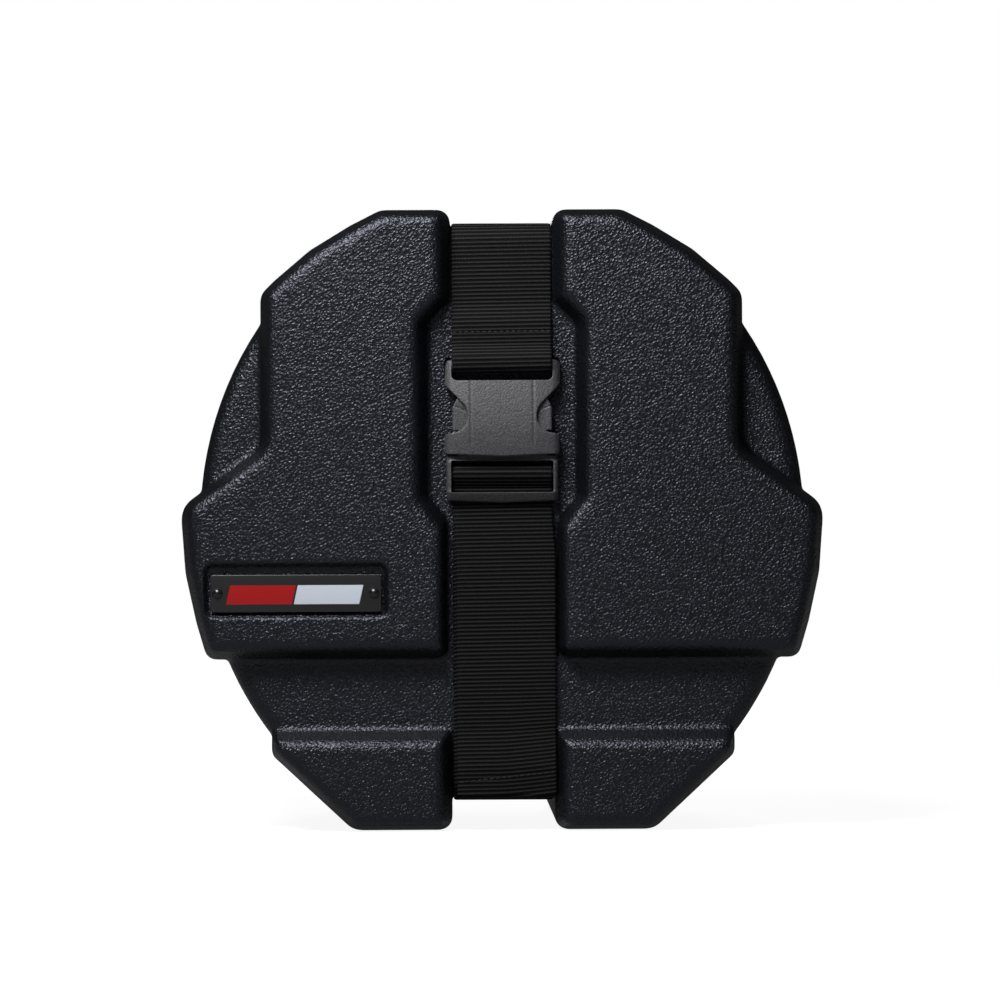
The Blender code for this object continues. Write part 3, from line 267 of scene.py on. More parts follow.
def shell_form(side):
    """The solid outside form of one shell, run past its rim, before it is softened."""
    rim = PARTING_Y + side * RIM_GAP / 2
    block, block_drafts = BLOCK_CORNERS, BLOCK_DRAFTS
    if side < 0:
        block = [(LOWER_CHANNEL_HALF, *block[0][1:])] + block[1:] + BUCKLE_RECESS_CORNERS
        block_drafts = block_drafts + BUCKLE_RECESS_DRAFTS
    skins = []
    rings = [standing(body_outline(shrink), rim - side * past) for past, shrink in LIP_STEPS]
    for step in range(7):
        angle = math.pi / 12 * step
        depth = FACE_Y - BODY_EDGE_RADIUS * (1 - math.sin(angle))
        rings.append(standing(body_outline(BODY_EDGE_RADIUS * (1 - math.cos(angle))), side * depth))
    skins.append(skin(rings))
    right_forms = [(block, block_drafts), (FOOT_CORNERS, FOOT_DRAFTS)]
    left_forms = [(mirrored(corners), drafts[-2::-1] + drafts[-1:]) for corners, drafts in right_forms]
    for corners, drafts in right_forms + left_forms:
        rings = []
        for past, shrink in LIP_STEPS:
            rings.append(standing(rounded(inset(corners, [shrink] * len(corners))), rim - side * past))
        rings.append(standing(rounded(corners), side * FACE_Y))
        for step in range(6):
            angle = math.pi / 10 * step
            depth = HALF_DEPTH - BLOCK_EDGE_RADIUS * (1 - math.sin(angle))
            reach = [(depth - FACE_Y) * draft + BLOCK_EDGE_RADIUS * (1 - math.cos(angle)) for draft in drafts]
            rings.append(standing(rounded(inset(corners, reach)), side * depth))
        skins.append(skin(rings))
    return solid_piece("form", *skins)


def shell(name, side):
    """One finished shell: softened outside, cup inside, and a trimmed rim."""
    piece = softened(shell_form(side), SHELL_MOULDING)
    piece.name = name
    if side < 0:
        corners = box_corners(NAME_RECESS, NAME_RECESS_CORNER)
        steps = [standing(rounded(inset(corners, [drawn] * 4)), depth) for depth, drawn in NAME_RECESS_RIM]
        carve(piece, solid_piece("recess", skin(steps)))
        corners = box_corners(NAME_PAD)
        pad = skin([standing(corners, depth) for depth in NAME_PAD_DEPTHS])
        carve(piece, solid_piece("pad", pad), "UNION")
    rim = PARTING_Y + side * RIM_GAP / 2
    cup_end = side * (FACE_Y - WALL)
    cup = [
        standing(body_outline(WALL), rim - side * CUP_OVERLAP),
        standing(body_outline(WALL), cup_end - side * CUP_CORNER),
        standing(body_outline(WALL + CUP_CORNER_STEP), cup_end - side * CUP_CORNER_STEP),
        standing(body_outline(WALL + CUP_CORNER), cup_end),
    ]
    carve(piece, solid_piece("cup", skin(cup)))
    trim = skin([standing(TRIM_SQUARE, rim), standing(TRIM_SQUARE, rim - side * TRIM_DEPTH)])
    carve(piece, solid_piece("trim", trim))
    if side > 0:
        outer, inner = TONGUE_FACES
        in_step, along_step = TONGUE_CHAMFER
        end, root = rim - TONGUE_REACH, rim + TONGUE_ROOT
        hidden = WALL - TONGUE_OVERLAP
        rings = [
            (outer + in_step, end), (outer, end + along_step), (outer, rim + TONGUE_STEP),
            (hidden, rim + TONGUE_STEP), (hidden, root), (inner, root - TONGUE_SLOPE),
            (inner, end + along_step), (inner - in_step, end),
        ]
        tongue = skin([standing(body_outline(shrink), depth) for shrink, depth in rings], closed=True)
        carve(piece, solid_piece("tongue", tongue), "UNION")
    return piece


def linear(code):
    """A linear colour from an sRGB hex code."""
    channels = [int(code[place:place + 2], 16) / 255 for place in (1, 3, 5)]
    return (*[c / 12.92 if c <= 0.04045 else ((c + 0.055) / 1.055) ** 2.4 for c in channels], 1.0)


def feed(tree, node, settings, links):
    """Set a node's sockets or own values and link its sockets. A node gives its first output."""
    for key, value in dict(settings).items():
        if isinstance(key, int) or key in node.inputs:
            node.inputs[key].default_value = value
        else:
            setattr(node, key, value)
    for key, source in dict(links).items():
        tree.links.new(getattr(source, "outputs", [source])[0], node.inputs[key])
    return node


def add_node(tree, kind, settings=(), links=()):
    """A new node with these settings and links."""
    return feed(tree, tree.nodes.new(kind), settings, links)


def new_material(name):
    """A material, its node tree, and the object's own coordinates in that tree."""
    material = bpy.data.materials.new(name)
    material.use_nodes = True
    tree = material.node_tree
    return material, tree, add_node(tree, "ShaderNodeTexCoord").outputs["Object"]


def surfaced(piece, material, sharp):
    """The piece in one material, shaded smooth except over edges of more than sharp degrees."""
    piece.data.materials.clear()
    piece.data.materials.append(material)
    piece.data.shade_smooth()
    piece.data.set_sharp_from_angle(angle=math.radians(sharp))


# Rotationally moulded polyethylene: blue-black, with the leathery grain that the mould prints on
# it, drawn-out cells about 1.5 mm long that lean up to the right. Their upper sides catch small
# lights, the base colour is painted darker in the valleys between them as painted shade and a
# little lighter on the cell tops, and the edges are rubbed smoother.
GRAIN_LENGTH = 0.0016
GRAIN_WIDTH = 0.0012
GRAIN_RELIEF = 0.00029
GRAIN_LEAN = math.radians(40)
polyethylene, tree, spot = new_material("moulded_polyethylene")
leaned = add_node(tree, "ShaderNodeVectorRotate", {"rotation_type": "Y_AXIS", "Angle": GRAIN_LEAN}, {
    "Vector": spot})
drawn_out = add_node(
    tree, "ShaderNodeVectorMath",
    {"operation": "MULTIPLY", 1: (1 / GRAIN_LENGTH, 1 / GRAIN_WIDTH, 1 / GRAIN_WIDTH)}, {0: leaned})
warp = add_node(tree, "ShaderNodeTexNoise", {"Scale": 1.3, "Detail": 1.0}, {"Vector": drawn_out})
warped = add_node(tree, "ShaderNodeVectorMath", {"operation": "MULTIPLY_ADD", 1: (0.9, 0.9, 0.9)}, {
    0: warp.outputs["Color"], 2: drawn_out})
grain = add_node(tree, "ShaderNodeTexVoronoi", {"feature": "SMOOTH_F1", "Scale": 1.0, "Smoothness": 0.25}, {
    "Vector": warped})
cell = add_node(tree, "ShaderNodeMapRange", {"From Min": 0.75, "From Max": 0.05}, {"Value": grain})
raised = add_node(tree, "ShaderNodeBump", {"Strength": 1.0, "Distance": GRAIN_RELIEF}, {"Height": cell})
cloud = add_node(tree, "ShaderNodeTexNoise", {"Scale": 14.0, "Detail": 3.0}, {"Vector": spot})
# Painted shade: the base colour is near black in the grain's valleys and lighter on the cell tops.
painted_valley_shade = add_node(
    tree, "ShaderNodeMix", {"data_type": "RGBA", 6: linear("#040506"), 7: linear("#07080a")}, {0: cloud})
tone = add_node(tree, "ShaderNodeMix", {"data_type": "RGBA", 7: linear("#101115")}, {
    0: cell, 6: painted_valley_shade.outputs[2]})
gloss = add_node(tree, "ShaderNodeMapRange", {"To Min": 0.40, "To Max": 0.31}, {"Value": cell})
feed(tree, tree.nodes["Principled BSDF"], {"IOR": 1.51, "Specular Tint": linear("#e9ecff")}, {
    "Base Color": tone.outputs[2], "Roughness": gloss, "Normal": raised})

for shell_name, side, body in (("front_shell", -1, "lid"), ("rear_shell", 1, "rear_case")):
    moulding = shell(shell_name + "_moulding", side)
    surfaced(moulding, polyethylene, SHARP_DEGREES)
    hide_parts(shell_name)
    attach(moulding, body)

# Strap
# One length of 50 mm polypropylene webbing right round the case, woven with raised weft ribs
# 2 mm apart. It is folded round the buckle's bar and sewn at the top, and its loose tail ends
# in a sewn hem. It is drawn as the lengths that move apart, whose ribs run on at each join.

WEB_WIDTH = 0.050
WEB_HALF = 0.00076
RIB_PITCH = 0.002
RIB_RISE = 0.00032
RIB_LEAN = 0.016
STRAP_TOP_Z = 0.3037
STRAP_BOTTOM_Z = 0.0157
STRAP_FACE_Y = 0.1273
STRAP_BEND = 0.0093
STRAP_BEND_Y = 0.118
STRAP_SPLIT_Y = -0.0141
OVER_Y = -0.1296
HEM_Y = -0.1319
SOCKET_BAR = (-0.1308, 0.23351)
SOCKET_TURN = 0.0035
ADJUSTER_BAR = (-0.1304, 0.17901)
ADJUSTER_TURN = 0.0031
INSERT_BOTTOM_Z = 0.16431
FOLD_END_Z = 0.25301
TAIL_FOLD_Z = 0.0173
HEM_LENGTH = 0.0122
HEM_TURN = 0.00115
FOLD_TURN = 0.004
ADJUSTER_FOLD_TURN = 0.003
EASY_BEND = 0.012
TAIL_BEND = 0.010
RUN_OVERLAP = 0.0001
ROWS_PER_RIB = 6
SEAM_PRESS, SEAM_SPREAD = 0.85, 0.0011
UPPER_SEAM_PLACE, UPPER_SEAM_LEAN = 0.0605, 0.01
HEM_SEAM_PLACE, HEM_SEAM_LEAN = 0.1378, 0.104
TAIL_DRIFT, TAIL_DRIFT_LENGTH = 0.0016, 0.03
TAIL_FAN, TAIL_FAN_START, TAIL_FAN_LENGTH = 0.0023, 0.090, 0.040
FAN_LEFT_X, FAN_WIDTH = -0.003, 0.028
# The webbing's section from edge to edge: how far across, how thick, how far the ribs stand out.
WEB_SECTION = [
    (-1, 0.0, 0.0), (-0.994, 0.6, 0.1), (-0.98, 0.92, 0.35), (-0.95, 1, 0.9),
    (-0.8, 1, 1), (-0.6, 1, 1), (-0.4, 1, 1), (-0.2, 1, 1), (0, 1, 1), (0.2, 1, 1), (0.4, 1, 1), (0.6, 1, 1),
    (0.8, 1, 1), (0.95, 1, 0.9), (0.98, 0.92, 0.5), (0.994, 0.6, 0.3), (1, 0.0, 0.1),
]


def with_nodes(piece, group, values):
    """The piece run through a node group whose named inputs get these values, made plain."""
    modifier = piece.modifiers.new(group.name, "NODES")
    modifier.node_group = group
    for item in group.interface.items_tree:
        if item.in_out == "INPUT" and item.name in values:
            modifier[item.identifier] = values[item.name]
    return baked(piece)


def node_group(name, inputs):
    """An empty geometry node group with named inputs, and what they give."""
    group = bpy.data.node_groups.new(name, "GeometryNodeTree")
    group.interface.new_socket("Geometry", in_out="INPUT", socket_type="NodeSocketGeometry")
    for label, kind in inputs:
        group.interface.new_socket(label, in_out="INPUT", socket_type="NodeSocket" + kind)
    group.interface.new_socket("Geometry", in_out="OUTPUT", socket_type="NodeSocketGeometry")
    return group, add_node(group, "NodeGroupInput").outputs


def finish_group(group, geometry, material_socket):
    """End a node group: instances made real, then its material."""
    real = add_node(group, "GeometryNodeRealizeInstances", {}, {0: geometry})
    dressed = add_node(group, "GeometryNodeSetMaterial", {}, {"Geometry": real, "Material": material_socket})
    add_node(group, "NodeGroupOutput", {}, {0: dressed})
    return group


# The ribs: each point moves out along "out" by a rounded wave of "place", as far as "share" lets it.
group, given = node_group("webbing_ribs", [
    ("Rib pitch", "Float"), ("Rib rise", "Float"), ("Webbing", "Material")])
place = add_node(group, "GeometryNodeInputNamedAttribute", {"data_type": "FLOAT", "Name": "place"})
share = add_node(group, "GeometryNodeInputNamedAttribute", {"data_type": "FLOAT", "Name": "share"})
out = add_node(group, "GeometryNodeInputNamedAttribute", {"data_type": "FLOAT_VECTOR", "Name": "out"})
turn = add_node(group, "ShaderNodeMath", {"operation": "DIVIDE"}, {0: place, 1: given["Rib pitch"]})
turn = add_node(group, "ShaderNodeMath", {"operation": "MULTIPLY", 1: math.tau}, {0: turn})
wave = add_node(group, "ShaderNodeMath", {"operation": "COSINE"}, {0: turn})
wave = add_node(group, "ShaderNodeMath", {"operation": "MULTIPLY_ADD", 1: 0.5, 2: 0.5}, {0: wave})
wave = add_node(group, "ShaderNodeMath", {"operation": "POWER", 1: 0.75}, {0: wave})
lift = add_node(group, "ShaderNodeMath", {"operation": "MULTIPLY"}, {0: wave, 1: given["Rib rise"]})
lift = add_node(group, "ShaderNodeMath", {"operation": "MULTIPLY"}, {0: lift, 1: share})
shift = add_node(group, "ShaderNodeVectorMath", {"operation": "SCALE"}, {0: out, "Scale": lift})
moved = add_node(group, "GeometryNodeSetPosition", {}, {"Geometry": given["Geometry"], "Offset": shift})
rib_group = finish_group(group, moved, given["Webbing"])

# Woven polypropylene: matt black yarn, its base colour painted soft grey on the rib tops as a
# painted highlight and black in the valleys between them as painted shade. Warp yarns 0.75 mm
# apart cross the ribs as fine dots.
YARN_PITCH = 0.00075
webbing_yarn, tree, spot = new_material("woven_polypropylene")
weave = add_node(tree, "ShaderNodeUVMap", {"uv_map": "weave"})
cells = add_node(tree, "ShaderNodeSeparateXYZ", {}, {0: weave})
rib = add_node(tree, "ShaderNodeMath", {"operation": "MULTIPLY", 1: math.tau / RIB_PITCH}, {
    0: cells.outputs[1]})
rib = add_node(tree, "ShaderNodeMath", {"operation": "COSINE"}, {0: rib})
rib = add_node(
    tree, "ShaderNodeMapRange", {"From Min": 0.0, "From Max": 0.85, "interpolation_type": "SMOOTHSTEP"},
    {"Value": rib})
yarn = add_node(tree, "ShaderNodeMath", {"operation": "MULTIPLY", 1: math.tau / YARN_PITCH}, {0: cells})
yarn = add_node(tree, "ShaderNodeMath", {"operation": "SINE"}, {0: yarn})
fuzz = add_node(tree, "ShaderNodeTexNoise", {"Scale": 1500.0, "Detail": 2.0}, {"Vector": spot})
dots = add_node(tree, "ShaderNodeMath", {"operation": "MULTIPLY_ADD", 1: 0.30}, {0: yarn, 2: fuzz})
relief = add_node(tree, "ShaderNodeBump", {"Strength": 0.5, "Distance": 0.0003}, {"Height": dots})
# Painted highlight on the rib tops and painted shade in the valleys between them, in the base colour.
painted_rib_light = add_node(
    tree, "ShaderNodeMapRange", {"From Min": 0.3, "From Max": 0.8, "To Min": 0.55, "To Max": 1.0},
    {"Value": dots})
painted_rib_light = add_node(tree, "ShaderNodeMath", {"operation": "MULTIPLY"}, {0: rib, 1: painted_rib_light})
tone = add_node(tree, "ShaderNodeMix", {"data_type": "RGBA", 6: linear("#020202"), 7: linear("#2d2d2d")}, {
    0: painted_rib_light})
feed(tree, tree.nodes["Principled BSDF"], {"Roughness": 0.72, "IOR": 1.49, "Specular IOR Level": 0.10}, {
    "Base Color": tone.outputs[2], "Normal": relief})


def webbing(
        name, route, start=0.0, width=WEB_WIDTH, half=WEB_HALF, pitch=RIB_PITCH, rise=RIB_RISE,
        lean=RIB_LEAN, drift=None, fan=None, flat_row=None):
    """A band along a route of (depth, height, bend radius) corners, with its ribs raised.

    start is the place in the weave where the route begins, drift slides points sideways,
    fan lifts ribs, and flat_row presses them down under a seam.
    """
    line = np.array([tuple(point) for point in rounded(route, 6, closed=False)])
    line = line[np.insert(np.linalg.norm(np.diff(line, axis=0), axis=1) > 1e-7, 0, True)]
    reach = np.insert(np.cumsum(np.linalg.norm(np.diff(line, axis=0), axis=1)), 0, 0.0)
    length = reach[-1]
    count = max(2, round(length / (pitch / ROWS_PER_RIB)))
    along = np.linspace(0.0, length, count + 1)
    depth, height = np.interp(along, reach, line[:, 0]), np.interp(along, reach, line[:, 1])
    run = np.stack([np.gradient(depth, along), np.gradient(height, along)], axis=1)
    run /= np.linalg.norm(run, axis=1)[:, None]
    normal = np.stack([run[:, 1], -run[:, 0]], axis=1)[:, :, None]
    across, thick, share = np.array(WEB_SECTION).T
    across = np.concatenate([across, across[-2:0:-1]]) * width / 2
    thick = np.concatenate([thick, -thick[-2:0:-1]])
    share = np.concatenate([share, share[-2:0:-1]])
    face = np.where(thick == 0, 0.0, np.sign(thick))
    rows, columns = len(along), len(across)
    U, S = np.meshgrid(across, along)
    place = start + S + lean * U
    if fan is not None:
        place = place + fan(U, S)
    X = U if drift is None else U + drift(S)
    offset = thick[None, :] * half
    Y = depth[:, None] + normal[:, 0] * offset
    Z = height[:, None] + normal[:, 1] * offset
    points = np.stack([X, Y, Z], axis=2).reshape(-1, 3)
    outward = np.stack([0 * X, normal[:, 0] * face, normal[:, 1] * face], axis=2).reshape(-1, 3)
    strength = np.broadcast_to(share[None, :], (rows, columns)).copy()
    if flat_row is not None:
        strength *= flat_row(U, S)
    grid = np.arange(rows * columns).reshape(rows, columns)
    low, high = grid[:-1], grid[1:]
    quads = np.stack([low, high, np.roll(high, -1, 1), np.roll(low, -1, 1)], axis=2).reshape(-1, 4)
    faces = quads.tolist() + [grid[0].tolist(), grid[-1][::-1].tolist()]
    mesh = bpy.data.meshes.new(name)
    mesh.from_pydata(points.tolist(), [], faces)
    for label, kind, field, values in (
            ("place", "FLOAT", "value", place), ("share", "FLOAT", "value", strength),
            ("out", "FLOAT_VECTOR", "vector", outward)):
        attribute = mesh.attributes.new(label, kind, "POINT")
        attribute.data.foreach_set(field, values.astype(np.float32).reshape(-1))
    sheet = mesh.uv_layers.new(name="weave")
    corners = np.empty(len(mesh.loops), np.int32)
    mesh.loops.foreach_get("vertex_index", corners)
    weave = np.stack([U.reshape(-1), place.reshape(-1)], axis=1)[corners]
    sheet.data.foreach_set("uv", weave.astype(np.float32).reshape(-1))
    piece = placed(name, mesh)
    inside_out = bmesh.new()
    inside_out.from_mesh(mesh)
    if inside_out.calc_volume(signed=True) < 0:
        bmesh.ops.reverse_faces(inside_out, faces=inside_out.faces)
        inside_out.to_mesh(mesh)
    inside_out.free()
    with_nodes(piece, rib_group, {"Rib pitch": pitch, "Rib rise": rise, "Webbing": webbing_yarn})
    piece.data.shade_smooth()
    return piece, start + length


def seam_flat(middle):
    """Presses the ribs down along a row of stitches at one place on the route."""
    return lambda U, S: 1 - SEAM_PRESS * np.exp(-(((S - middle(U)) / SEAM_SPREAD) ** 2))


def ramp(value, start, length, most=1):
    """0 up to the start, then rising in a straight line to 1 over the length."""
    return np.clip((value - start) / length, 0, most)


top_run, place_now = webbing(
    "strap_top_run_webbing", [(STRAP_SPLIT_Y, STRAP_TOP_Z, 0), (-STRAP_BEND_Y + RUN_OVERLAP, STRAP_TOP_Z, 0)])
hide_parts("strap_top_run")
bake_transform(top_run)

upper_route = [
    (-STRAP_BEND_Y + RUN_OVERLAP, STRAP_TOP_Z, 0),
    (-STRAP_FACE_Y, STRAP_TOP_Z, STRAP_BEND),
    (-STRAP_FACE_Y, FOLD_END_Z + 0.010, EASY_BEND),
    (OVER_Y, FOLD_END_Z + 0.002, EASY_BEND),
    (OVER_Y, SOCKET_BAR[1] + 0.0095, FOLD_TURN),
    (SOCKET_BAR[0] - SOCKET_TURN, SOCKET_BAR[1] + SOCKET_TURN, FOLD_TURN),
    (SOCKET_BAR[0] - SOCKET_TURN, SOCKET_BAR[1] - SOCKET_TURN, SOCKET_TURN),
    (-STRAP_FACE_Y, SOCKET_BAR[1] - SOCKET_TURN, SOCKET_TURN),
    (-STRAP_FACE_Y, FOLD_END_Z, 0),
]
upper_seam = seam_flat(lambda U: UPPER_SEAM_PLACE - UPPER_SEAM_LEAN * U)
upper, _ = webbing("strap_upper_webbing", upper_route, start=place_now, flat_row=upper_seam)
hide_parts("strap_front_upper")
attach(upper, "lid")

rear, _ = webbing("strap_rear_webbing", [
    (STRAP_BEND_Y, STRAP_BOTTOM_Z, 0),
    (STRAP_FACE_Y, STRAP_BOTTOM_Z, STRAP_BEND),
    (STRAP_FACE_Y, STRAP_TOP_Z, STRAP_BEND),
    (STRAP_SPLIT_Y, STRAP_TOP_Z, 0),
])
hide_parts("strap_rear")
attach(rear, "rear_case")

bottom_run, _ = webbing("strap_bottom_run_webbing", [
    (-STRAP_BEND_Y, STRAP_BOTTOM_Z, 0), (STRAP_BEND_Y, STRAP_BOTTOM_Z, 0)])
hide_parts("strap_bottom_run")
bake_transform(bottom_run)

live, live_place = webbing("strap_live_webbing", [
    (-STRAP_BEND_Y, STRAP_BOTTOM_Z, 0),
    (-STRAP_FACE_Y, STRAP_BOTTOM_Z, STRAP_BEND),
    (-STRAP_FACE_Y, INSERT_BOTTOM_Z + RUN_OVERLAP, 0),
], lean=-RIB_LEAN)
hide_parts("strap_front_lower")
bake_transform(live)

loop, loop_place = webbing("strap_adjuster_webbing", [
    (-STRAP_FACE_Y, INSERT_BOTTOM_Z + RUN_OVERLAP, 0),
    (-STRAP_FACE_Y, ADJUSTER_BAR[1] + ADJUSTER_TURN, ADJUSTER_TURN),
    (ADJUSTER_BAR[0] - ADJUSTER_TURN, ADJUSTER_BAR[1] + ADJUSTER_TURN, ADJUSTER_TURN),
    (ADJUSTER_BAR[0] - ADJUSTER_TURN, ADJUSTER_BAR[1] - 0.0015, ADJUSTER_FOLD_TURN),
    (OVER_Y, ADJUSTER_BAR[1] - 0.007, ADJUSTER_FOLD_TURN),
    (OVER_Y, INSERT_BOTTOM_Z, 0),
], start=live_place, lean=0.0)
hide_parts("strap_adjuster_loop")
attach(loop, "insert")


def tail_drift(S):
    """The tail hangs a little to the right of the length under it."""
    gone = ramp(S, 0, TAIL_DRIFT_LENGTH)
    return TAIL_DRIFT * gone ** 2 * (3 - 2 * gone)


def tail_fan(U, S):
    """Near the hem the right half of the ribs lifts."""
    grown = ramp(S, TAIL_FAN_START, TAIL_FAN_LENGTH)
    right = ramp(U, FAN_LEFT_X, FAN_WIDTH)
    return TAIL_FAN * grown * grown * (3 - 2 * grown) * right ** 1.3


hem_seam = seam_flat(lambda U: HEM_SEAM_PLACE - HEM_SEAM_LEAN * U)
tail, _ = webbing("strap_tail_webbing", [
    (OVER_Y, INSERT_BOTTOM_Z, 0),
    (OVER_Y, TAIL_FOLD_Z + HEM_LENGTH + 0.020, TAIL_BEND),
    (HEM_Y, TAIL_FOLD_Z + HEM_LENGTH + 0.002, TAIL_BEND),
    (HEM_Y, TAIL_FOLD_Z, HEM_TURN),
    (OVER_Y, TAIL_FOLD_Z, HEM_TURN),
    (OVER_Y, TAIL_FOLD_Z + HEM_LENGTH, 0),
], start=loop_place, drift=tail_drift, fan=tail_fan, flat_row=hem_seam)
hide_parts("strap_tail")
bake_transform(tail)

# The sewn rows: black bonded thread, laid stitch by stitch across the webbing. Each stitch is a
# short thick thread that sinks at its ends and leans a little its own way, from a fixed seed.
STITCH_PITCH = 0.0029
STITCH_LENGTH = 0.0026
THREAD_RADIUS = 0.00034
STITCH_LEAN = math.radians(9)
UPPER_SEAM = ((-0.0236, -0.1303, 0.2497), (0.0236, -0.1303, 0.2503))
HEM_SEAM = ((-0.0212, -0.1327, 0.0242), (0.0246, -0.1327, 0.0290))

group, given = node_group("stitch_row", [
    ("Pitch", "Float"), ("Stitch length", "Float"), ("Thread radius", "Float"), ("Lean", "Float"),
    ("Thread", "Material")])
row = add_node(group, "GeometryNodeMeshToCurve", {}, {0: given["Geometry"]})
row = add_node(group, "GeometryNodeResampleCurve", {"mode": "LENGTH"}, {
    "Curve": row, "Length": given["Pitch"]})
ball = add_node(group, "GeometryNodeMeshUVSphere", {"Segments": 10, "Rings": 8, "Radius": 1.0})
long_half = add_node(group, "ShaderNodeMath", {"operation": "MULTIPLY", 1: 0.5}, {0: given["Stitch length"]})
size = add_node(group, "ShaderNodeCombineXYZ", {}, {
    0: long_half, 1: given["Thread radius"], 2: given["Thread radius"]})
stitch = add_node(group, "GeometryNodeTransform", {}, {"Geometry": ball, "Scale": size})
heading = add_node(group, "GeometryNodeInputTangent")
along = add_node(group, "FunctionNodeAlignRotationToVector", {"axis": "X"}, {"Vector": heading})
least = add_node(group, "ShaderNodeMath", {"operation": "MULTIPLY", 1: -1.0}, {0: given["Lean"]})
lean = add_node(group, "FunctionNodeRandomValue", {"data_type": "FLOAT", "Seed": 7}, {
    2: least, 3: given["Lean"]})
lean = add_node(group, "FunctionNodeAxisAngleToRotation", {"Axis": (0.0, 1.0, 0.0)}, {
    "Angle": lean.outputs[1]})
laid = add_node(group, "FunctionNodeRotateRotation", {"rotation_space": "GLOBAL"}, {0: along, 1: lean})
threads = add_node(group, "GeometryNodeInstanceOnPoints", {}, {
    "Points": row, "Instance": stitch, "Rotation": laid})
stitch_group = finish_group(group, threads, given["Thread"])

# Bonded polyester thread: black, a little glossier than the webbing, with its ply twist.
thread, tree, spot = new_material("bonded_polyester_thread")
ply = add_node(
    tree, "ShaderNodeTexWave", {"bands_direction": "DIAGONAL", "Scale": 1100.0, "Distortion": 1.0},
    {"Vector": spot})
tone = add_node(tree, "ShaderNodeMix", {"data_type": "RGBA", 6: linear("#0c0c0d"), 7: linear("#262627")}, {
    0: ply.outputs["Fac"]})
twisted = add_node(tree, "ShaderNodeBump", {"Strength": 0.6, "Distance": 0.0001}, {
    "Height": ply.outputs["Fac"]})
feed(tree, tree.nodes["Principled BSDF"], {"Roughness": 0.5, "Specular IOR Level": 0.3}, {
    "Base Color": tone.outputs[2], "Normal": twisted})

for name, ends in (("upper_seam_stitches", UPPER_SEAM), ("hem_seam_stitches", HEM_SEAM)):
    mesh = bpy.data.meshes.new(name)
    mesh.from_pydata(ends, [(0, 1)], [])
    sewn = placed(name, mesh)
    with_nodes(sewn, stitch_group, {
        "Pitch": STITCH_PITCH, "Stitch length": STITCH_LENGTH, "Thread radius": THREAD_RADIUS,
        "Lean": STITCH_LEAN, "Thread": thread})
    sewn.data.shade_smooth()
    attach(sewn, "lid")

# Nameplate
# A thin black anodised aluminium plate, blanked with small corner radii and bare of words: a
# red and a pale slanted bar are printed across it. It lies in the moulded recess and is held
# by two black domed rivets.

PLATE_BOX = (-0.1464, -0.0609, 0.10994, 0.12864)
PLATE_CORNER = 0.0015
PLATE_BACK_Y = -0.1378
PLATE_FRONT_Y = -0.1390
PLATE_EDGE = 0.0003
BARS_LEFT_X, BARS_SPLIT_X, BARS_RIGHT_X = -0.1374, -0.1041, -0.0709
BARS_LOW_Z, BARS_HIGH_Z = 0.1139, 0.1234
BAR_SLANT = 0.22
BAR_SOFTNESS = 0.00012
BAR_GAP_HALF = 0.0005
PLATE_RIVETS = [(-0.1428, PLATE_FRONT_Y, 0.11929), (-0.0645, PLATE_FRONT_Y, 0.11929)]
PLATE_RIVET_RADIUS = 0.0028
PLATE_RIVET_DOME = 0.0015

# Anodised aluminium: near black with a faint brushed line along the plate, a hard satin shine,
# and two bars of flat printed ink.
anodised, tree, spot = new_material("anodised_aluminium")
axes = add_node(tree, "ShaderNodeSeparateXYZ", {}, {0: spot})
leaning = add_node(tree, "ShaderNodeMath", {"operation": "MULTIPLY_ADD", 1: -BAR_SLANT}, {
    0: axes.outputs[2], 2: axes.outputs[0]})
leaning = add_node(
    tree, "ShaderNodeMath", {"operation": "ADD", 1: BAR_SLANT * (BARS_LOW_Z + BARS_HIGH_Z) / 2},
    {0: leaning})


def past(source, edge, rising=True):
    """1 on one side of a printed edge and 0 on the other, softened as ink is."""
    ends = {"From Min": edge - BAR_SOFTNESS, "From Max": edge + BAR_SOFTNESS}
    if not rising:
        ends.update({"To Min": 1.0, "To Max": 0.0})
    return add_node(tree, "ShaderNodeMapRange", ends, {"Value": source})


def both(first, second):
    """Where two masks are both 1."""
    return add_node(tree, "ShaderNodeMath", {"operation": "MULTIPLY"}, {0: first, 1: second})


tall = both(past(axes.outputs[2], BARS_LOW_Z), past(axes.outputs[2], BARS_HIGH_Z, False))
red = both(past(leaning, BARS_LEFT_X), past(leaning, BARS_SPLIT_X - BAR_GAP_HALF, False))
red = both(tall, red)
pale = both(past(leaning, BARS_SPLIT_X + BAR_GAP_HALF), past(leaning, BARS_RIGHT_X, False))
pale = both(tall, pale)
stretch = add_node(tree, "ShaderNodeMapping", {"Scale": (160.0, 4000.0, 4000.0)}, {"Vector": spot})
brushed = add_node(tree, "ShaderNodeTexNoise", {"Scale": 1.0, "Detail": 3.0}, {"Vector": stretch})
metal = add_node(tree, "ShaderNodeMix", {"data_type": "RGBA", 6: linear("#131315"), 7: linear("#1c1c1e")}, {
    0: brushed})
with_red = add_node(tree, "ShaderNodeMix", {"data_type": "RGBA", 7: linear("#9c0206")}, {
    0: red, 6: metal.outputs[2]})
inked = add_node(tree, "ShaderNodeMix", {"data_type": "RGBA", 7: linear("#c4cbd6")}, {
    0: pale, 6: with_red.outputs[2]})
fine = add_node(tree, "ShaderNodeMapRange", {"To Min": 0.30, "To Max": 0.42}, {"Value": brushed})
scored = add_node(tree, "ShaderNodeBump", {"Strength": 0.12, "Distance": 0.00005}, {"Height": brushed})
feed(tree, tree.nodes["Principled BSDF"], {"IOR": 1.6}, {
    "Base Color": inked.outputs[2], "Roughness": fine, "Normal": scored})

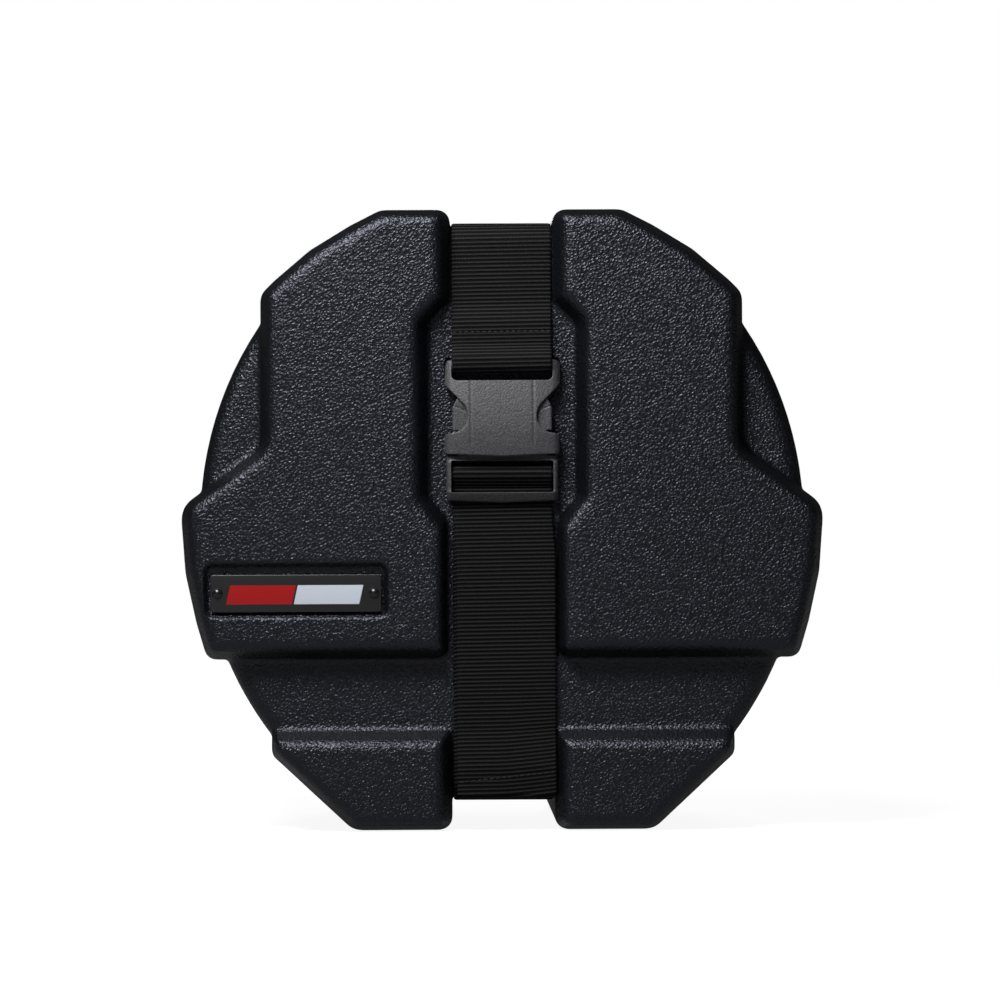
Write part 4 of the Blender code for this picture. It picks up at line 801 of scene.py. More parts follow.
plate_corners = box_corners(PLATE_BOX, PLATE_CORNER)
eased = [(0.0, PLATE_BACK_Y)]
for step in range(5):
    angle = math.pi / 8 * step
    eased.append((PLATE_EDGE * (1 - math.cos(angle)), PLATE_FRONT_Y + PLATE_EDGE * (1 - math.sin(angle))))
rings = [standing(rounded(inset(plate_corners, [drawn] * 4)), depth) for drawn, depth in eased]
plate = solid_piece("nameplate_blank", skin(rings))
surfaced(plate, anodised, 40)
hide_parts("nameplate")
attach(plate, "lid")

# Domed rivets: a ball is set at each point, its upper half pressed to a dome and its lower half
# to a flat base, and each head is turned a little by a fixed seed as hand setting leaves it.
group, given = node_group("domed_rivets", [
    ("Head radius", "Float"), ("Dome height", "Float"), ("Base depth", "Float"), ("Facing", "Rotation"),
    ("Shank radius", "Float"), ("Shank length", "Float"), ("Rivet", "Material")])
ball = add_node(group, "GeometryNodeMeshUVSphere", {"Segments": 40, "Rings": 20, "Radius": 1.0})
here = add_node(group, "GeometryNodeInputPosition")
parts = add_node(group, "ShaderNodeSeparateXYZ", {}, {0: here})
top = add_node(group, "ShaderNodeMath", {"operation": "MAXIMUM", 1: 0.0}, {0: parts.outputs[2]})
top = add_node(group, "ShaderNodeMath", {"operation": "POWER", 1: 2.0}, {0: top})
top = add_node(group, "ShaderNodeMath", {"operation": "MULTIPLY"}, {0: top, 1: given["Dome height"]})
under = add_node(group, "ShaderNodeMath", {"operation": "LESS_THAN", 1: -0.01}, {0: parts.outputs[2]})
height = add_node(group, "ShaderNodeMath", {"operation": "MULTIPLY"}, {0: under, 1: given["Base depth"]})
height = add_node(group, "ShaderNodeMath", {"operation": "SUBTRACT"}, {0: top, 1: height})
wide = add_node(group, "ShaderNodeVectorMath", {"operation": "SCALE"}, {
    0: here, "Scale": given["Head radius"]})
wide = add_node(group, "ShaderNodeSeparateXYZ", {}, {0: wide})
pressed = add_node(group, "ShaderNodeCombineXYZ", {}, {0: wide, 1: wide.outputs[1], 2: height})
head = add_node(group, "GeometryNodeSetPosition", {}, {"Geometry": ball, "Position": pressed})
shank = add_node(group, "GeometryNodeMeshCylinder", {"Vertices": 24}, {
    "Radius": given["Shank radius"], "Depth": given["Shank length"]})
sunk = add_node(group, "ShaderNodeMath", {"operation": "MULTIPLY", 1: -0.5}, {0: given["Shank length"]})
sunk = add_node(group, "ShaderNodeCombineXYZ", {}, {2: sunk})
shank = add_node(group, "GeometryNodeTransform", {}, {"Geometry": shank, "Translation": sunk})
rivet = add_node(group, "GeometryNodeJoinGeometry", {}, {0: head})
feed(group, rivet, {}, {0: shank})
spin = add_node(group, "FunctionNodeRandomValue", {"data_type": "FLOAT", "Seed": 3})
spin = add_node(group, "ShaderNodeMath", {"operation": "MULTIPLY", 1: math.tau}, {0: spin.outputs[1]})
spun = add_node(group, "FunctionNodeAxisAngleToRotation", {"Axis": (0.0, 0.0, 1.0)}, {"Angle": spin})
facing = add_node(group, "FunctionNodeRotateRotation", {"rotation_space": "LOCAL"}, {
    0: given["Facing"], 1: spun})
heads = add_node(group, "GeometryNodeInstanceOnPoints", {}, {
    "Points": given["Geometry"], "Instance": rivet, "Rotation": facing})
rivet_group = finish_group(group, heads, given["Rivet"])

# Painted steel: glossy black lacquer with fine wear scratches, which gives each head one small
# hard highlight.
black_steel, tree, spot = new_material("lacquered_steel")
wear = add_node(tree, "ShaderNodeTexNoise", {"Scale": 2500.0, "Detail": 4.0}, {"Vector": spot})
tone = add_node(tree, "ShaderNodeMix", {"data_type": "RGBA", 6: linear("#0b0b0c"), 7: linear("#1c1c1d")}, {
    0: wear})
gloss = add_node(tree, "ShaderNodeMapRange", {"To Min": 0.16, "To Max": 0.34}, {"Value": wear})
dented = add_node(tree, "ShaderNodeBump", {"Strength": 0.1, "Distance": 0.00005}, {"Height": wear})
feed(tree, tree.nodes["Principled BSDF"], {"IOR": 1.5}, {
    "Base Color": tone.outputs[2], "Roughness": gloss, "Normal": dented})


def set_rivets(name, places, values):
    """Rivet heads at these places, as one mesh."""
    mesh = bpy.data.meshes.new(name)
    mesh.from_pydata(places, [], [])
    piece = with_nodes(placed(name, mesh), rivet_group, {**values, "Rivet": black_steel})
    surfaced(piece, black_steel, SHARP_DEGREES)
    return piece


plate_rivets = set_rivets("nameplate_rivet_heads", PLATE_RIVETS, {
    "Head radius": PLATE_RIVET_RADIUS, "Dome height": PLATE_RIVET_DOME, "Base depth": 0.0002,
    "Facing": (math.pi / 2, 0.0, 0.0), "Shank radius": 0.0012, "Shank length": 0.003})
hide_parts("nameplate_rivet_left", "nameplate_rivet_right")
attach(plate_rivets, "lid")

# Buckle
# A 50 mm side release buckle, injection moulded in acetal. The upper half is a waisted socket
# that hangs on the sewn loop, the lower half is an adjuster frame with a guide tongue, and two
# sprung arms fill the side cut-outs with the pads that the fingers press.

SOCKET_HALF = 0.029
SOCKET_NECK_HALF = 0.0173
SOCKET_BACK_Y = -0.1266
SOCKET_FRONT_Y = -0.1394
SOCKET_BOTTOM_Z = 0.18871
SOCKET_TOP_Z = 0.23701
SOCKET_PLATE_TOP_Z = 0.22551
SOCKET_BOW = 0.0024
BOW_RADIUS = 0.40
EAR_INNER_HALF = 0.0254
SLOT_CORNER = 0.0028
CAVITY_HALF = 0.0226
CAVITY_FRONT_Y = -0.1367
CAVITY_BACK_Y = -0.1293
CAVITY_TOP_Z = 0.22151
CREASE_HALF = 0.0157
CREASE_DEPTH, CREASE_WIDTH = 0.00042, 0.00045
SOCKET_CROWN = 0.0038
FRAME_SLOPE = 0.0034
LIP_Z, LIP_HEIGHT, LIP_WIDTH = 0.1698, 0.0004, 0.0005
PAD_LINE_Z, PAD_LINE_DEPTH, PAD_LINE_WIDTH = 0.2126, 0.0004, 0.00026
BACK_ROUNDING = (-0.1295, 0.0029)
SOCKET_MOULDING = (0.00036, 5, 0.35)
INSERT_MOULDING = (0.00036, 4, 0.35)
ARM_MOULDING = (0.00028, 3, 0.4)
SOFT_DEGREES = 60
CUT_FRONT_Y, CUT_BACK_Y = -0.15, -0.12
INSERT_HALF = 0.028
INSERT_FRONT_Y = -0.1362
INSERT_TOP_Z = 0.18601
WINDOW_HALF = 0.0256
WINDOW_LOW_Z = 0.16941
WINDOW_TOP_Z = 0.18521
PASSAGE_Y = -0.13075
MOUTH = ((-0.0222, INSERT_FRONT_Y, 0.18521), (0.0222, -0.1297, 0.19051))
TONGUE = [
    (-0.007, 0.1856, 0.0003), (0.007, 0.1856, 0.0003), (0.007, 0.2137, 0.001),
    (0.004, 0.21801, 0.001), (-0.004, 0.21801, 0.001), (-0.007, 0.2137, 0.001),
]
TONGUE_BACK_Y = -0.1298
ARM_PAD = [
    (0.0196, 0.19121, 0.0003), (0.0221, 0.19121, 0.0003), (0.0221, 0.20051, 0.0003),
    (0.0250, 0.20021, 0.0005), (0.0249, 0.21201, 0.003), (0.0221, 0.21741, 0.002), (0.0196, 0.21741, 0.002),
    (0.0169, 0.21471, 0.002), (0.0169, 0.20331, 0.002), (0.0196, 0.19791, 0.002)]


def both_halves(right):
    """An anticlockwise outline from the corners of its right half."""
    return right + [(-across, up, radius) for across, up, radius in reversed(right) if across > 0]


def slab(corners, back_y, front_y, edge=0.0003):
    """A plate with slightly eased edges, as points and faces."""
    count = len(corners)
    eased = rounded(inset(corners, [edge] * count), 5)
    full = rounded(corners, 5)
    steps = ((eased, back_y), (full, back_y - edge), (full, front_y + edge), (eased, front_y))
    return skin([standing(outline, depth) for outline, depth in steps])


def brick(low, high):
    """A plain cutter or filler, as points and faces."""
    outline = [(low[0], low[2]), (high[0], low[2]), (high[0], high[2]), (low[0], high[2])]
    return skin([standing(outline, low[1]), standing(outline, high[1])])


def round_bar(radius, reach, depth, up):
    """A bar across the buckle, as points and faces."""
    turns = [math.tau * i / 20 for i in range(20)]
    spots = [(depth + radius * math.cos(turn), up + radius * math.sin(turn)) for turn in turns]
    return skin([[(across, *spot) for spot in spots] for across in (-reach, reach)])


def fall(distance, radius):
    """How far a rounded edge of this radius has dropped at a distance past its start."""
    past_edge = np.clip(distance, 0, radius * 0.985)
    return radius - np.sqrt(radius ** 2 - past_edge ** 2)


def socket_face(x, y, z):
    """The crowned front: a flat middle between two creases, falling away to round ears and ends."""
    a = np.abs(x)
    drop = SOCKET_CROWN * ramp(z, 0.199, 0.0265, 1.4) ** 1.6
    drop = drop + 0.0007 * ramp(z, 0.200, -0.012) ** 2 + 0.0009 * ramp(a, CREASE_HALF, 0.0093) ** 1.5
    drop += fall(a - 0.0243, 0.0049)
    drop += CREASE_DEPTH * np.exp(-((a - CREASE_HALF) / CREASE_WIDTH) ** 2) * ramp(z, 0.1915, 0.003)
    drop += fall(z - (SOCKET_TOP_Z - 0.0030), 0.0031)
    return drop * ramp(y, -0.1325, -0.0069) - fall(a - 0.0266, 0.0025) * ramp(y, *BACK_ROUNDING)


def insert_face(x, y, z):
    """The adjuster frame: round sides, and a lower bar whose face slopes back under its lip."""
    a = np.abs(x)
    drop = fall(a - 0.0250, 0.0031) + FRAME_SLOPE * ramp(z, 0.1691, -0.0050) ** 1.1
    drop += 0.0012 * ramp(z, 0.1845, 0.0015) + 0.0016 * ramp(z, 0.1905, 0.0275)
    drop -= LIP_HEIGHT * np.exp(-((z - LIP_Z) / LIP_WIDTH) ** 2)
    return drop * ramp(y, -0.1300, -0.0062) - fall(a - 0.0260, 0.0021) * ramp(y, *BACK_ROUNDING)


def arm_face(x, y, z):
    """The pads: a round outer edge, and a moulded line across under the sloping top."""
    a = np.abs(x)
    line = PAD_LINE_Z - 0.0034 * ramp(a, 0.0249, -0.0080) ** 1.4
    drop = fall(a - 0.0238, 0.0014) + 0.0008 * ramp(z, 0.2, 0.0175)
    drop += PAD_LINE_DEPTH * np.exp(-((z - line) / PAD_LINE_WIDTH) ** 2)
    return drop * ramp(y, -0.1325, -0.0037)


socket_outline = both_halves(
    [
        (0, SOCKET_BOTTOM_Z - SOCKET_BOW, BOW_RADIUS), (SOCKET_HALF, SOCKET_BOTTOM_Z, 0.002),
        (SOCKET_HALF, 0.19831, 0.0018), (SOCKET_NECK_HALF, 0.20061, 0.0084),
        (SOCKET_NECK_HALF, 0.21151, 0.0095), (SOCKET_HALF, 0.22361, 0.0050),
        (SOCKET_HALF, SOCKET_TOP_Z, 0.002)])
socket = solid_piece("socket_moulding", slab(socket_outline, SOCKET_BACK_Y, SOCKET_FRONT_Y))
cavity = brick((-CAVITY_HALF, CAVITY_FRONT_Y, SOCKET_BOTTOM_Z - 0.01), (
    CAVITY_HALF, CAVITY_BACK_Y, CAVITY_TOP_Z))
carve(socket, solid_piece("cavity", cavity))
slot_corners = [
    (-EAR_INNER_HALF, SOCKET_PLATE_TOP_Z, SLOT_CORNER), (EAR_INNER_HALF, SOCKET_PLATE_TOP_Z, SLOT_CORNER),
    (EAR_INNER_HALF, SOCKET_TOP_Z + 0.004, 0.0002), (-EAR_INNER_HALF, SOCKET_TOP_Z + 0.004, 0.0002),
]
slot = skin([standing(rounded(slot_corners), depth) for depth in (CUT_FRONT_Y, CUT_BACK_Y)])
carve(socket, solid_piece("slot", slot))
carve(socket, solid_piece("bar", round_bar(0.0022, EAR_INNER_HALF + 0.0012, *SOCKET_BAR)), "UNION")
softened(socket, SOCKET_MOULDING, socket_face)

insert_outline = both_halves(
    [
        (0, INSERT_BOTTOM_Z - SOCKET_BOW / 2, BOW_RADIUS),
        (INSERT_HALF, INSERT_BOTTOM_Z + SOCKET_BOW / 2, 0.0025),
        (INSERT_HALF, INSERT_TOP_Z + SOCKET_BOW - 0.0002, 0.0006), (0, INSERT_TOP_Z, BOW_RADIUS)])
insert = solid_piece("insert_moulding", slab(insert_outline, SOCKET_BACK_Y, INSERT_FRONT_Y))
window = brick((-WINDOW_HALF, CUT_FRONT_Y, WINDOW_LOW_Z), (WINDOW_HALF, CUT_BACK_Y, WINDOW_TOP_Z))
carve(insert, solid_piece("window", window))
passage_low = (-WINDOW_HALF, PASSAGE_Y, INSERT_BOTTOM_Z - 0.01)
passage = brick(passage_low, (WINDOW_HALF, CUT_BACK_Y, WINDOW_TOP_Z - 0.0014))
carve(insert, solid_piece("passage", passage))
carve(insert, solid_piece("bar", round_bar(0.0018, WINDOW_HALF + 0.001, *ADJUSTER_BAR)), "UNION")
carve(insert, solid_piece("mouth", brick(*MOUTH)), "UNION")
carve(insert, solid_piece("tongue", slab(TONGUE, TONGUE_BACK_Y, INSERT_FRONT_Y, 0.0004)), "UNION")
softened(insert, INSERT_MOULDING, insert_face)

# Acetal: satin charcoal plastic with the fine spark-eroded texture of its mould, about 0.5 mm
# across, a slight mottling, and edges rubbed a little paler.
acetal, tree, spot = new_material("moulded_acetal")
speck = add_node(tree, "ShaderNodeTexNoise", {"Scale": 1050.0, "Detail": 2.0, "Roughness": 0.6}, {
    "Vector": spot})
mottle = add_node(tree, "ShaderNodeTexNoise", {"Scale": 190.0, "Detail": 3.0}, {"Vector": spot})
edges = add_node(tree, "ShaderNodeNewGeometry")
rubbed = add_node(tree, "ShaderNodeMapRange", {"From Min": 0.51, "From Max": 0.60, "To Max": 0.35}, {
    "Value": edges.outputs["Pointiness"]})
tone = add_node(tree, "ShaderNodeMix", {"data_type": "RGBA", 6: linear("#39393b"), 7: linear("#444447")}, {
    0: mottle})
grey = add_node(
    tree, "ShaderNodeMapRange", {"From Min": 0.3, "From Max": 0.7, "To Min": 0.6, "To Max": 1.4},
    {"Value": speck})
tone = add_node(tree, "ShaderNodeVectorMath", {"operation": "SCALE"}, {0: tone.outputs[2], "Scale": grey})
tone = add_node(tree, "ShaderNodeMix", {"data_type": "RGBA", 7: linear("#6c6c6f")}, {0: rubbed, 6: tone})
gloss = add_node(tree, "ShaderNodeMapRange", {"To Min": 0.44, "To Max": 0.58}, {"Value": speck})
pitted = add_node(tree, "ShaderNodeBump", {"Strength": 0.8, "Distance": 0.0004}, {"Height": speck})
feed(tree, tree.nodes["Principled BSDF"], {"IOR": 1.48}, {
    "Base Color": tone.outputs[2], "Roughness": gloss, "Normal": pitted})

arms = []
for arm_name, side, body in (("release_arm_left", -1, "left_arm"), ("release_arm_right", 1, "right_arm")):
    pad = ARM_PAD if side > 0 else mirrored(ARM_PAD)
    arm = solid_piece(arm_name + "_moulding", slab(pad, TONGUE_BACK_Y, INSERT_FRONT_Y))
    softened(arm, ARM_MOULDING, arm_face)
    arms.append((arm, arm_name, body))

for piece, node, body in [(socket, "buckle_socket", "lid"), (insert, "buckle_insert", "insert")] + arms:
    surfaced(piece, acetal, SOFT_DEGREES)
    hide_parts(node)
    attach(piece, body)

# Carrying handle
# A length of 38 mm webbing laid flat on the rear half of the top channel, threaded through a
# ribbed grip moulded in soft vinyl. Two domed rivets at each end go down through the webbing,
# the strap and the shell, and are closed over zinc plated washers inside.

HANDLE_WIDTH = 0.038
HANDLE_HALF = 0.00085
HANDLE_RIB_PITCH, HANDLE_RIB_RISE, HANDLE_LEAN = 0.0016, 0.00018, 0.01
HANDLE_Z = 0.3060
HANDLE_START_Y, HANDLE_END_Y = -0.00996, 0.1060
GRIP_NEAR_Y, GRIP_FAR_Y = 0.01804, 0.0780
GRIP_MIDDLE_Y = (GRIP_NEAR_Y + GRIP_FAR_Y) / 2
GRIP_LOW_Z, GRIP_TOP_Z = 0.3050, 0.3105
GRIP_HALF_WIDTH = 0.021
GRIP_SLOT = (0.0193, 0.30645, 0.30905)
GRIP_CENTRE_Z = 0.30775
GRIP_MOULDING = (0.0005, 4, 0.35)
GRIP_CORNER = 0.002
GRIP_CROWN = 0.0003
GRIP_RIB_PITCH = 0.005
GRIP_RIB_LENGTH, GRIP_RIB_RADIUS = 0.034, 0.0011
GRIP_RIB_DEPTH = 0.0007
GRIP_BARE_ENDS = 0.006
HANDLE_RIVETS = [(across, along, 0.30715) for along in (-0.00096, 0.097) for across in (-0.010, 0.010)]
HANDLE_TAILS = [(across, along, 0.29680) for across, along, _ in HANDLE_RIVETS]


def end_for_end(route):
    """The handle's front half turned end for end, which is its rear half."""
    middle = HANDLE_START_Y + HANDLE_END_Y
    return [(middle - along, up, bend) for along, up, bend in route]


handle_route = [
    (HANDLE_START_Y, HANDLE_Z, 0), (GRIP_NEAR_Y - 0.008, HANDLE_Z, 0.008),
    (GRIP_NEAR_Y, GRIP_CENTRE_Z, 0.008), (GRIP_MIDDLE_Y, GRIP_CENTRE_Z, 0),
]
for name, route, lean, rivet_end, grip_end in (
        ("handle_webbing_front", handle_route, HANDLE_LEAN, 0.0045, 0.021),
        ("handle_webbing_rear", end_for_end(handle_route), -HANDLE_LEAN, 0.0915, 0.0750)):
    half_handle, _ = webbing(
        name, route, width=HANDLE_WIDTH, half=HANDLE_HALF, pitch=HANDLE_RIB_PITCH, rise=HANDLE_RIB_RISE,
        lean=lean)
    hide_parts("handle_webbing")
    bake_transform(half_handle)

# The grip's ribs: rounded bars set at even steps along its top, in the same moulding.
group, given = node_group("grip_ribs", [
    ("Rib count", "Int"), ("First rib", "Vector"), ("Rib pitch", "Float"), ("Rib length", "Float"),
    ("Rib radius", "Float"), ("Vinyl", "Material")])
step = add_node(group, "ShaderNodeCombineXYZ", {}, {1: given["Rib pitch"]})
row = add_node(group, "GeometryNodeMeshLine", {"mode": "OFFSET"}, {
    "Count": given["Rib count"], "Start Location": given["First rib"], "Offset": step})
bar = add_node(group, "GeometryNodeMeshUVSphere", {"Segments": 16, "Rings": 12}, {
    "Radius": given["Rib radius"]})
here = add_node(group, "GeometryNodeInputPosition")
parts = add_node(group, "ShaderNodeSeparateXYZ", {}, {0: here})
way = add_node(group, "ShaderNodeMath", {"operation": "SIGN"}, {0: parts.outputs[0]})
way = add_node(group, "ShaderNodeMath", {"operation": "MULTIPLY"}, {0: way, 1: given["Rib length"]})
way = add_node(group, "ShaderNodeMath", {"operation": "MULTIPLY", 1: 0.5}, {0: way})
way = add_node(group, "ShaderNodeCombineXYZ", {}, {0: way})
bar = add_node(group, "GeometryNodeSetPosition", {}, {"Geometry": bar, "Offset": way})
bars = add_node(group, "GeometryNodeInstanceOnPoints", {}, {"Points": row, "Instance": bar})
whole = add_node(group, "GeometryNodeJoinGeometry", {}, {0: bars})
feed(group, whole, {}, {0: given["Geometry"]})
bar_group = finish_group(group, whole, given["Vinyl"])

# Soft vinyl: matt black with a fine skin grain and faint grey scuffs on the ribs.
vinyl, tree, spot = new_material("soft_vinyl")
skin_grain = add_node(tree, "ShaderNodeTexVoronoi", {"Scale": 1300.0}, {"Vector": spot})
scuff = add_node(tree, "ShaderNodeTexNoise", {"Scale": 260.0, "Detail": 5.0, "Roughness": 0.65}, {
    "Vector": spot})
scuffed = add_node(tree, "ShaderNodeMapRange", {"From Min": 0.5, "From Max": 0.75, "To Max": 0.6}, {
    "Value": scuff})
tone = add_node(tree, "ShaderNodeMix", {"data_type": "RGBA", 6: linear("#141415"), 7: linear("#262627")}, {
    0: scuffed})
gloss = add_node(tree, "ShaderNodeMapRange", {"To Min": 0.50, "To Max": 0.72}, {"Value": scuff})
pored = add_node(tree, "ShaderNodeBump", {"Strength": 0.3, "Distance": 0.0001}, {"Height": skin_grain})
feed(tree, tree.nodes["Principled BSDF"], {"IOR": 1.53}, {
    "Base Color": tone.outputs[2], "Roughness": gloss, "Normal": pored})

section = box_corners((-GRIP_HALF_WIDTH, GRIP_HALF_WIDTH, GRIP_LOW_Z, GRIP_TOP_Z - GRIP_CROWN), GRIP_CORNER)
grip = solid_piece("grip_moulding", slab(section, GRIP_FAR_Y, GRIP_NEAR_Y, 0.0007))
slot_half, slot_low, slot_high = GRIP_SLOT
slot = brick((-slot_half, GRIP_NEAR_Y - 0.01, slot_low), (slot_half, GRIP_FAR_Y + 0.01, slot_high))
carve(grip, solid_piece("slot", slot))
softened(grip, GRIP_MOULDING)
rib_count = int((GRIP_FAR_Y - GRIP_NEAR_Y - GRIP_BARE_ENDS) / GRIP_RIB_PITCH) + 1
first_rib = GRIP_MIDDLE_Y - (rib_count - 1) * GRIP_RIB_PITCH / 2
with_nodes(grip, bar_group, {
    "Rib count": rib_count, "First rib": (0.0, first_rib, GRIP_TOP_Z - GRIP_RIB_DEPTH),
    "Rib pitch": GRIP_RIB_PITCH, "Rib length": GRIP_RIB_LENGTH, "Rib radius": GRIP_RIB_RADIUS,
    "Vinyl": vinyl})
surfaced(grip, vinyl, SOFT_DEGREES)
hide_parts("handle_grip")
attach(grip, "grip")

handle_rivets = set_rivets("handle_rivet_heads", HANDLE_RIVETS, {
    "Head radius": 0.0045, "Dome height": 0.0019, "Base depth": 0.0002, "Facing": (0.0, 0.0, 0.0),
    "Shank radius": 0.0024, "Shank length": 0.0108})
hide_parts("handle_rivet_1", "handle_rivet_2", "handle_rivet_3", "handle_rivet_4")
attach(handle_rivets, "rear_case")
rivet_tails = set_rivets("handle_rivet_tails", HANDLE_TAILS, {
    "Head radius": 0.0036, "Dome height": 0.0009, "Base depth": 0.0002, "Facing": (math.pi, 0.0, 0.0),
    "Shank radius": 0.002, "Shank length": 0.0015})
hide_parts("handle_rivet_1", "handle_rivet_2", "handle_rivet_3", "handle_rivet_4")
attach(rivet_tails, "rear_case")

# Zinc plate: pale bluish metal, satin and a little blotched.
zinc, tree, spot = new_material("zinc_plated_steel")
blotch = add_node(tree, "ShaderNodeTexNoise", {"Scale": 420.0, "Detail": 4.0}, {"Vector": spot})
tone = add_node(tree, "ShaderNodeMix", {"data_type": "RGBA", 6: linear("#a9adb3"), 7: linear("#c6c9cc")}, {
    0: blotch})
gloss = add_node(tree, "ShaderNodeMapRange", {"To Min": 0.28, "To Max": 0.48}, {"Value": blotch})
feed(tree, tree.nodes["Principled BSDF"], {"Metallic": 1.0}, {
    "Base Color": tone.outputs[2], "Roughness": gloss})
for number in range(1, 5):
    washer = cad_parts["rivet_washer_%d" % number]
    for place in range(len(washer.data.materials)):
        washer.material_slots[place].material = zinc

# Foam lining
# Charcoal closed-cell polyethylene foam, cut from sheet: a pad against each end of the case and
# a ring in each shell round the drum. Cutting leaves the cells open on every face and softens
# the edges a little. The pieces are held by their fit.

FOAM_SHRINK = 0.0043
FOAM_EDGE = 0.0016
FOAM_SHARP_DEGREES = 40
PAD_FACES = (0.1097, 0.1217)
PAD_CHAMFER = 0.004
LINER_END_Y, LINER_FRONT_RIM_Y, LINER_REAR_RIM_Y = 0.1094, -0.04581, -0.01951
DRUM_RADIUS = 0.133
DRUM_CENTRE_Z = 0.1597
GROOVE = (0.0175, -0.0085, 0.1045, 0.2956)

# Foam: matt charcoal, with cells about 0.8 mm across whose pits are painted dark as painted shade,
# and a slow random change of tone over a few centimetres.
foam, tree, spot = new_material("polyethylene_foam")
cell = add_node(tree, "ShaderNodeTexVoronoi", {"Scale": 1150.0}, {"Vector": spot})
large = add_node(tree, "ShaderNodeTexVoronoi", {"Scale": 520.0}, {"Vector": spot})
drift_shade = add_node(tree, "ShaderNodeTexNoise", {"Scale": 24.0, "Detail": 2.0}, {"Vector": spot})
pits = add_node(tree, "ShaderNodeMath", {"operation": "MULTIPLY"}, {0: cell, 1: large})
open_cell = add_node(tree, "ShaderNodeMapRange", {"From Min": 0.02, "From Max": 0.30}, {"Value": pits})
base = add_node(tree, "ShaderNodeMix", {"data_type": "RGBA", 6: linear("#2a2a2c"), 7: linear("#353538")}, {
    0: drift_shade})
# Painted shade: the base colour goes dark in the open cells' pits.
tone = add_node(tree, "ShaderNodeMix", {"data_type": "RGBA", 6: linear("#141415")}, {
    0: open_cell, 7: base.outputs[2]})
pitted = add_node(tree, "ShaderNodeBump", {"Strength": 0.8, "Distance": 0.0004}, {"Height": open_cell})
feed(tree, tree.nodes["Principled BSDF"], {"Roughness": 0.95, "Specular IOR Level": 0.2}, {
    "Base Color": tone.outputs[2], "Normal": pitted})


def foam_piece(name, rings, closed, node, body):
    piece = solid_piece(name, skin(rings, closed=closed))
    if node == "rear_foam_liner":
        half, near, far, low = GROOVE
        carve(piece, solid_piece("groove", brick((-half, near, low), (half, far, low + 0.02))))
    surfaced(piece, foam, FOAM_SHARP_DEGREES)
    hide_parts(node)
    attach(piece, body)
    return piece


def drum_circle(outer, depth, radius):
    """Points round the drum, one for each point of the outer outline."""
    points = []
    for across, up in outer:
        away = Vector((across, up - DRUM_CENTRE_Z)).normalized() * radius
        points.append((away.x, depth, DRUM_CENTRE_Z + away.y))
    return points


def eased_edge():
    """How far a cut edge has yet to come out, and how far in from the face that is, step by step."""
    turns = [math.pi / 8 * step for step in range(5)]
    return [(FOAM_EDGE * (1 - math.sin(turn)), FOAM_EDGE * (1 - math.cos(turn))) for turn in turns]


for side, node, body in ((-1, "front_foam_pad", "lid"), (1, "rear_foam_pad", "rear_case")):
    face, back = PAD_FACES
    rings = [standing(body_outline(FOAM_SHRINK + out), side * (face + depth)) for out, depth in eased_edge()]
    rings.append(standing(body_outline(FOAM_SHRINK), side * (back - PAD_CHAMFER)))
    rings.append(standing(body_outline(FOAM_SHRINK + PAD_CHAMFER), side * back))
    foam_piece(node + "_sheet", rings, False, node, body)

for near, far, node, body in (
        (-LINER_END_Y, LINER_FRONT_RIM_Y, "front_foam_liner", "lid"),
        (LINER_REAR_RIM_Y, LINER_END_Y, "rear_foam_liner", "rear_case")):
    near_edge = [(out, near + depth) for out, depth in eased_edge()]
    far_edge = [(out, far - depth) for out, depth in reversed(eased_edge())]
    outer = [standing(body_outline(FOAM_SHRINK + out), depth) for out, depth in near_edge + far_edge]
    inner = [
        drum_circle(body_outline(FOAM_SHRINK), depth, DRUM_RADIUS + out)
        for out, depth in reversed(near_edge + far_edge)
    ]
    foam_piece(node + "_ring", outer + inner, True, node, body)

# Floor, light and camera
# A plain white table and backdrop, a soft light overhead, weak ones in front and behind, and a
# long lens straight in front of the buckle, level with the middle of the case.

GLOSS_SHARE = 0.10
FLOOR_LOW, FLOOR_HIGH = (-3, -2, -0.004), (3, 2, -0.0004)
LENS, SENSOR, STAND_OFF = 216.1, 36.0, 3.0
CAMERA_TURN, CAMERA_ROLL = math.radians(-0.8), math.radians(0.27)
CAMERA_SHIFT_X, CAMERA_Z = 0.0006, 0.1655

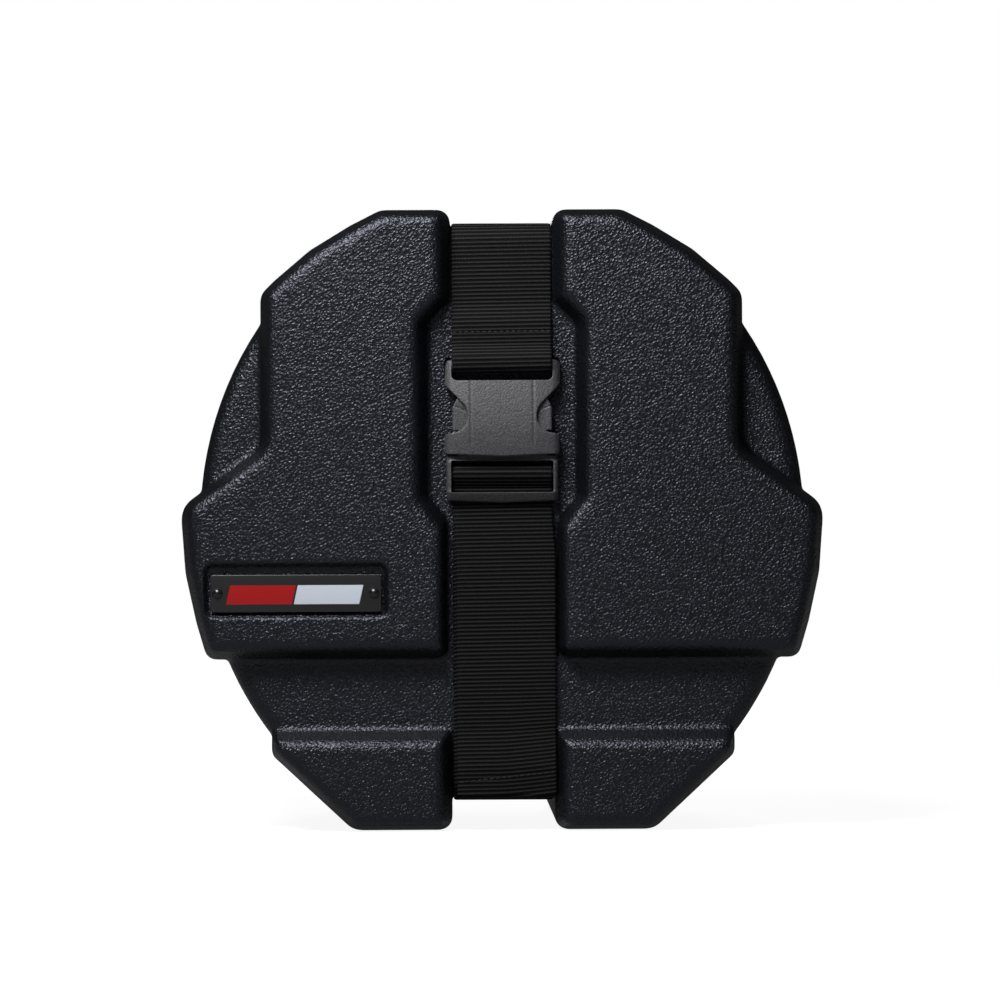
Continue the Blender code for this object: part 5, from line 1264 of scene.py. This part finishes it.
white, tree, spot = new_material("white_backdrop")
paper = feed(
    tree, tree.nodes["Principled BSDF"], {"Base Color": (0.2, 0.2, 0.2, 1.0), "Roughness": 0.9}, {})
rays = add_node(tree, "ShaderNodeLightPath")
away = add_node(tree, "ShaderNodeVectorMath", {"operation": "LENGTH"}, {0: spot})
far = add_node(
    tree, "ShaderNodeMapRange", {"From Min": 0.25, "From Max": 0.6, "To Min": 0.92, "To Max": 1.0},
    {"Value": away.outputs["Value"]})
shown = add_node(tree, "ShaderNodeMath", {"operation": "MULTIPLY_ADD", 1: GLOSS_SHARE}, {
    0: rays.outputs["Is Glossy Ray"], 2: rays})
lift = add_node(tree, "ShaderNodeMath", {"operation": "MULTIPLY"}, {0: shown, 1: far})
lifted = add_node(tree, "ShaderNodeEmission", {"Color": (1.0, 1.0, 1.0, 1.0)}, {"Strength": lift})
seen = add_node(tree, "ShaderNodeAddShader", {}, {0: paper, 1: lifted})
feed(tree, tree.nodes["Material Output"], {}, {"Surface": seen})
floor = solid_piece("floor", brick(FLOOR_LOW, FLOOR_HIGH))
floor.data.materials.append(white)

world = bpy.data.worlds.new("studio")
bpy.context.scene.world = world
world.use_nodes = True
tree = world.node_tree
rays = add_node(tree, "ShaderNodeLightPath")
level = add_node(tree, "ShaderNodeMapRange", {"To Min": 0.03, "To Max": 1.0}, {"Value": rays})
feed(tree, tree.nodes["Background"], {"Color": (1.0, 1.0, 1.0, 1.0)}, {"Strength": level})


def softbox(name, place, aim, size, power):
    """A square soft light."""
    lamp = bpy.data.lights.new(name, "AREA")
    lamp.shape = "RECTANGLE"
    lamp.size, lamp.size_y = size
    lamp.energy = power
    light = placed(name, lamp)
    light.location = place
    light.rotation_euler = (Vector(aim) - Vector(place)).to_track_quat("-Z", "Y").to_euler()


softbox("overhead", (-0.26, -0.60, 0.80), (0.0, -0.10, 0.18), (0.42, 0.26), 10.6)
softbox("front", (-0.6, -2.6, 1.6), (0.0, 0.0, 0.16), (0.8, 0.8), 4.0)
softbox("behind", (0.0, 2.4, 0.45), (0.0, 0.0, 0.16), (0.5, 0.5), 8.0)

camera = placed("camera", bpy.data.cameras.new("camera"))
camera.data.lens = LENS
camera.data.sensor_width = SENSOR
distance = STAND_OFF + HALF_DEPTH
camera.location = (
    math.sin(CAMERA_TURN) * distance + CAMERA_SHIFT_X, -math.cos(CAMERA_TURN) * distance, CAMERA_Z)
camera.rotation_euler = (math.pi / 2, CAMERA_ROLL, CAMERA_TURN)
bpy.context.scene.camera = camera
bpy.context.scene.view_settings.view_transform = "Standard"
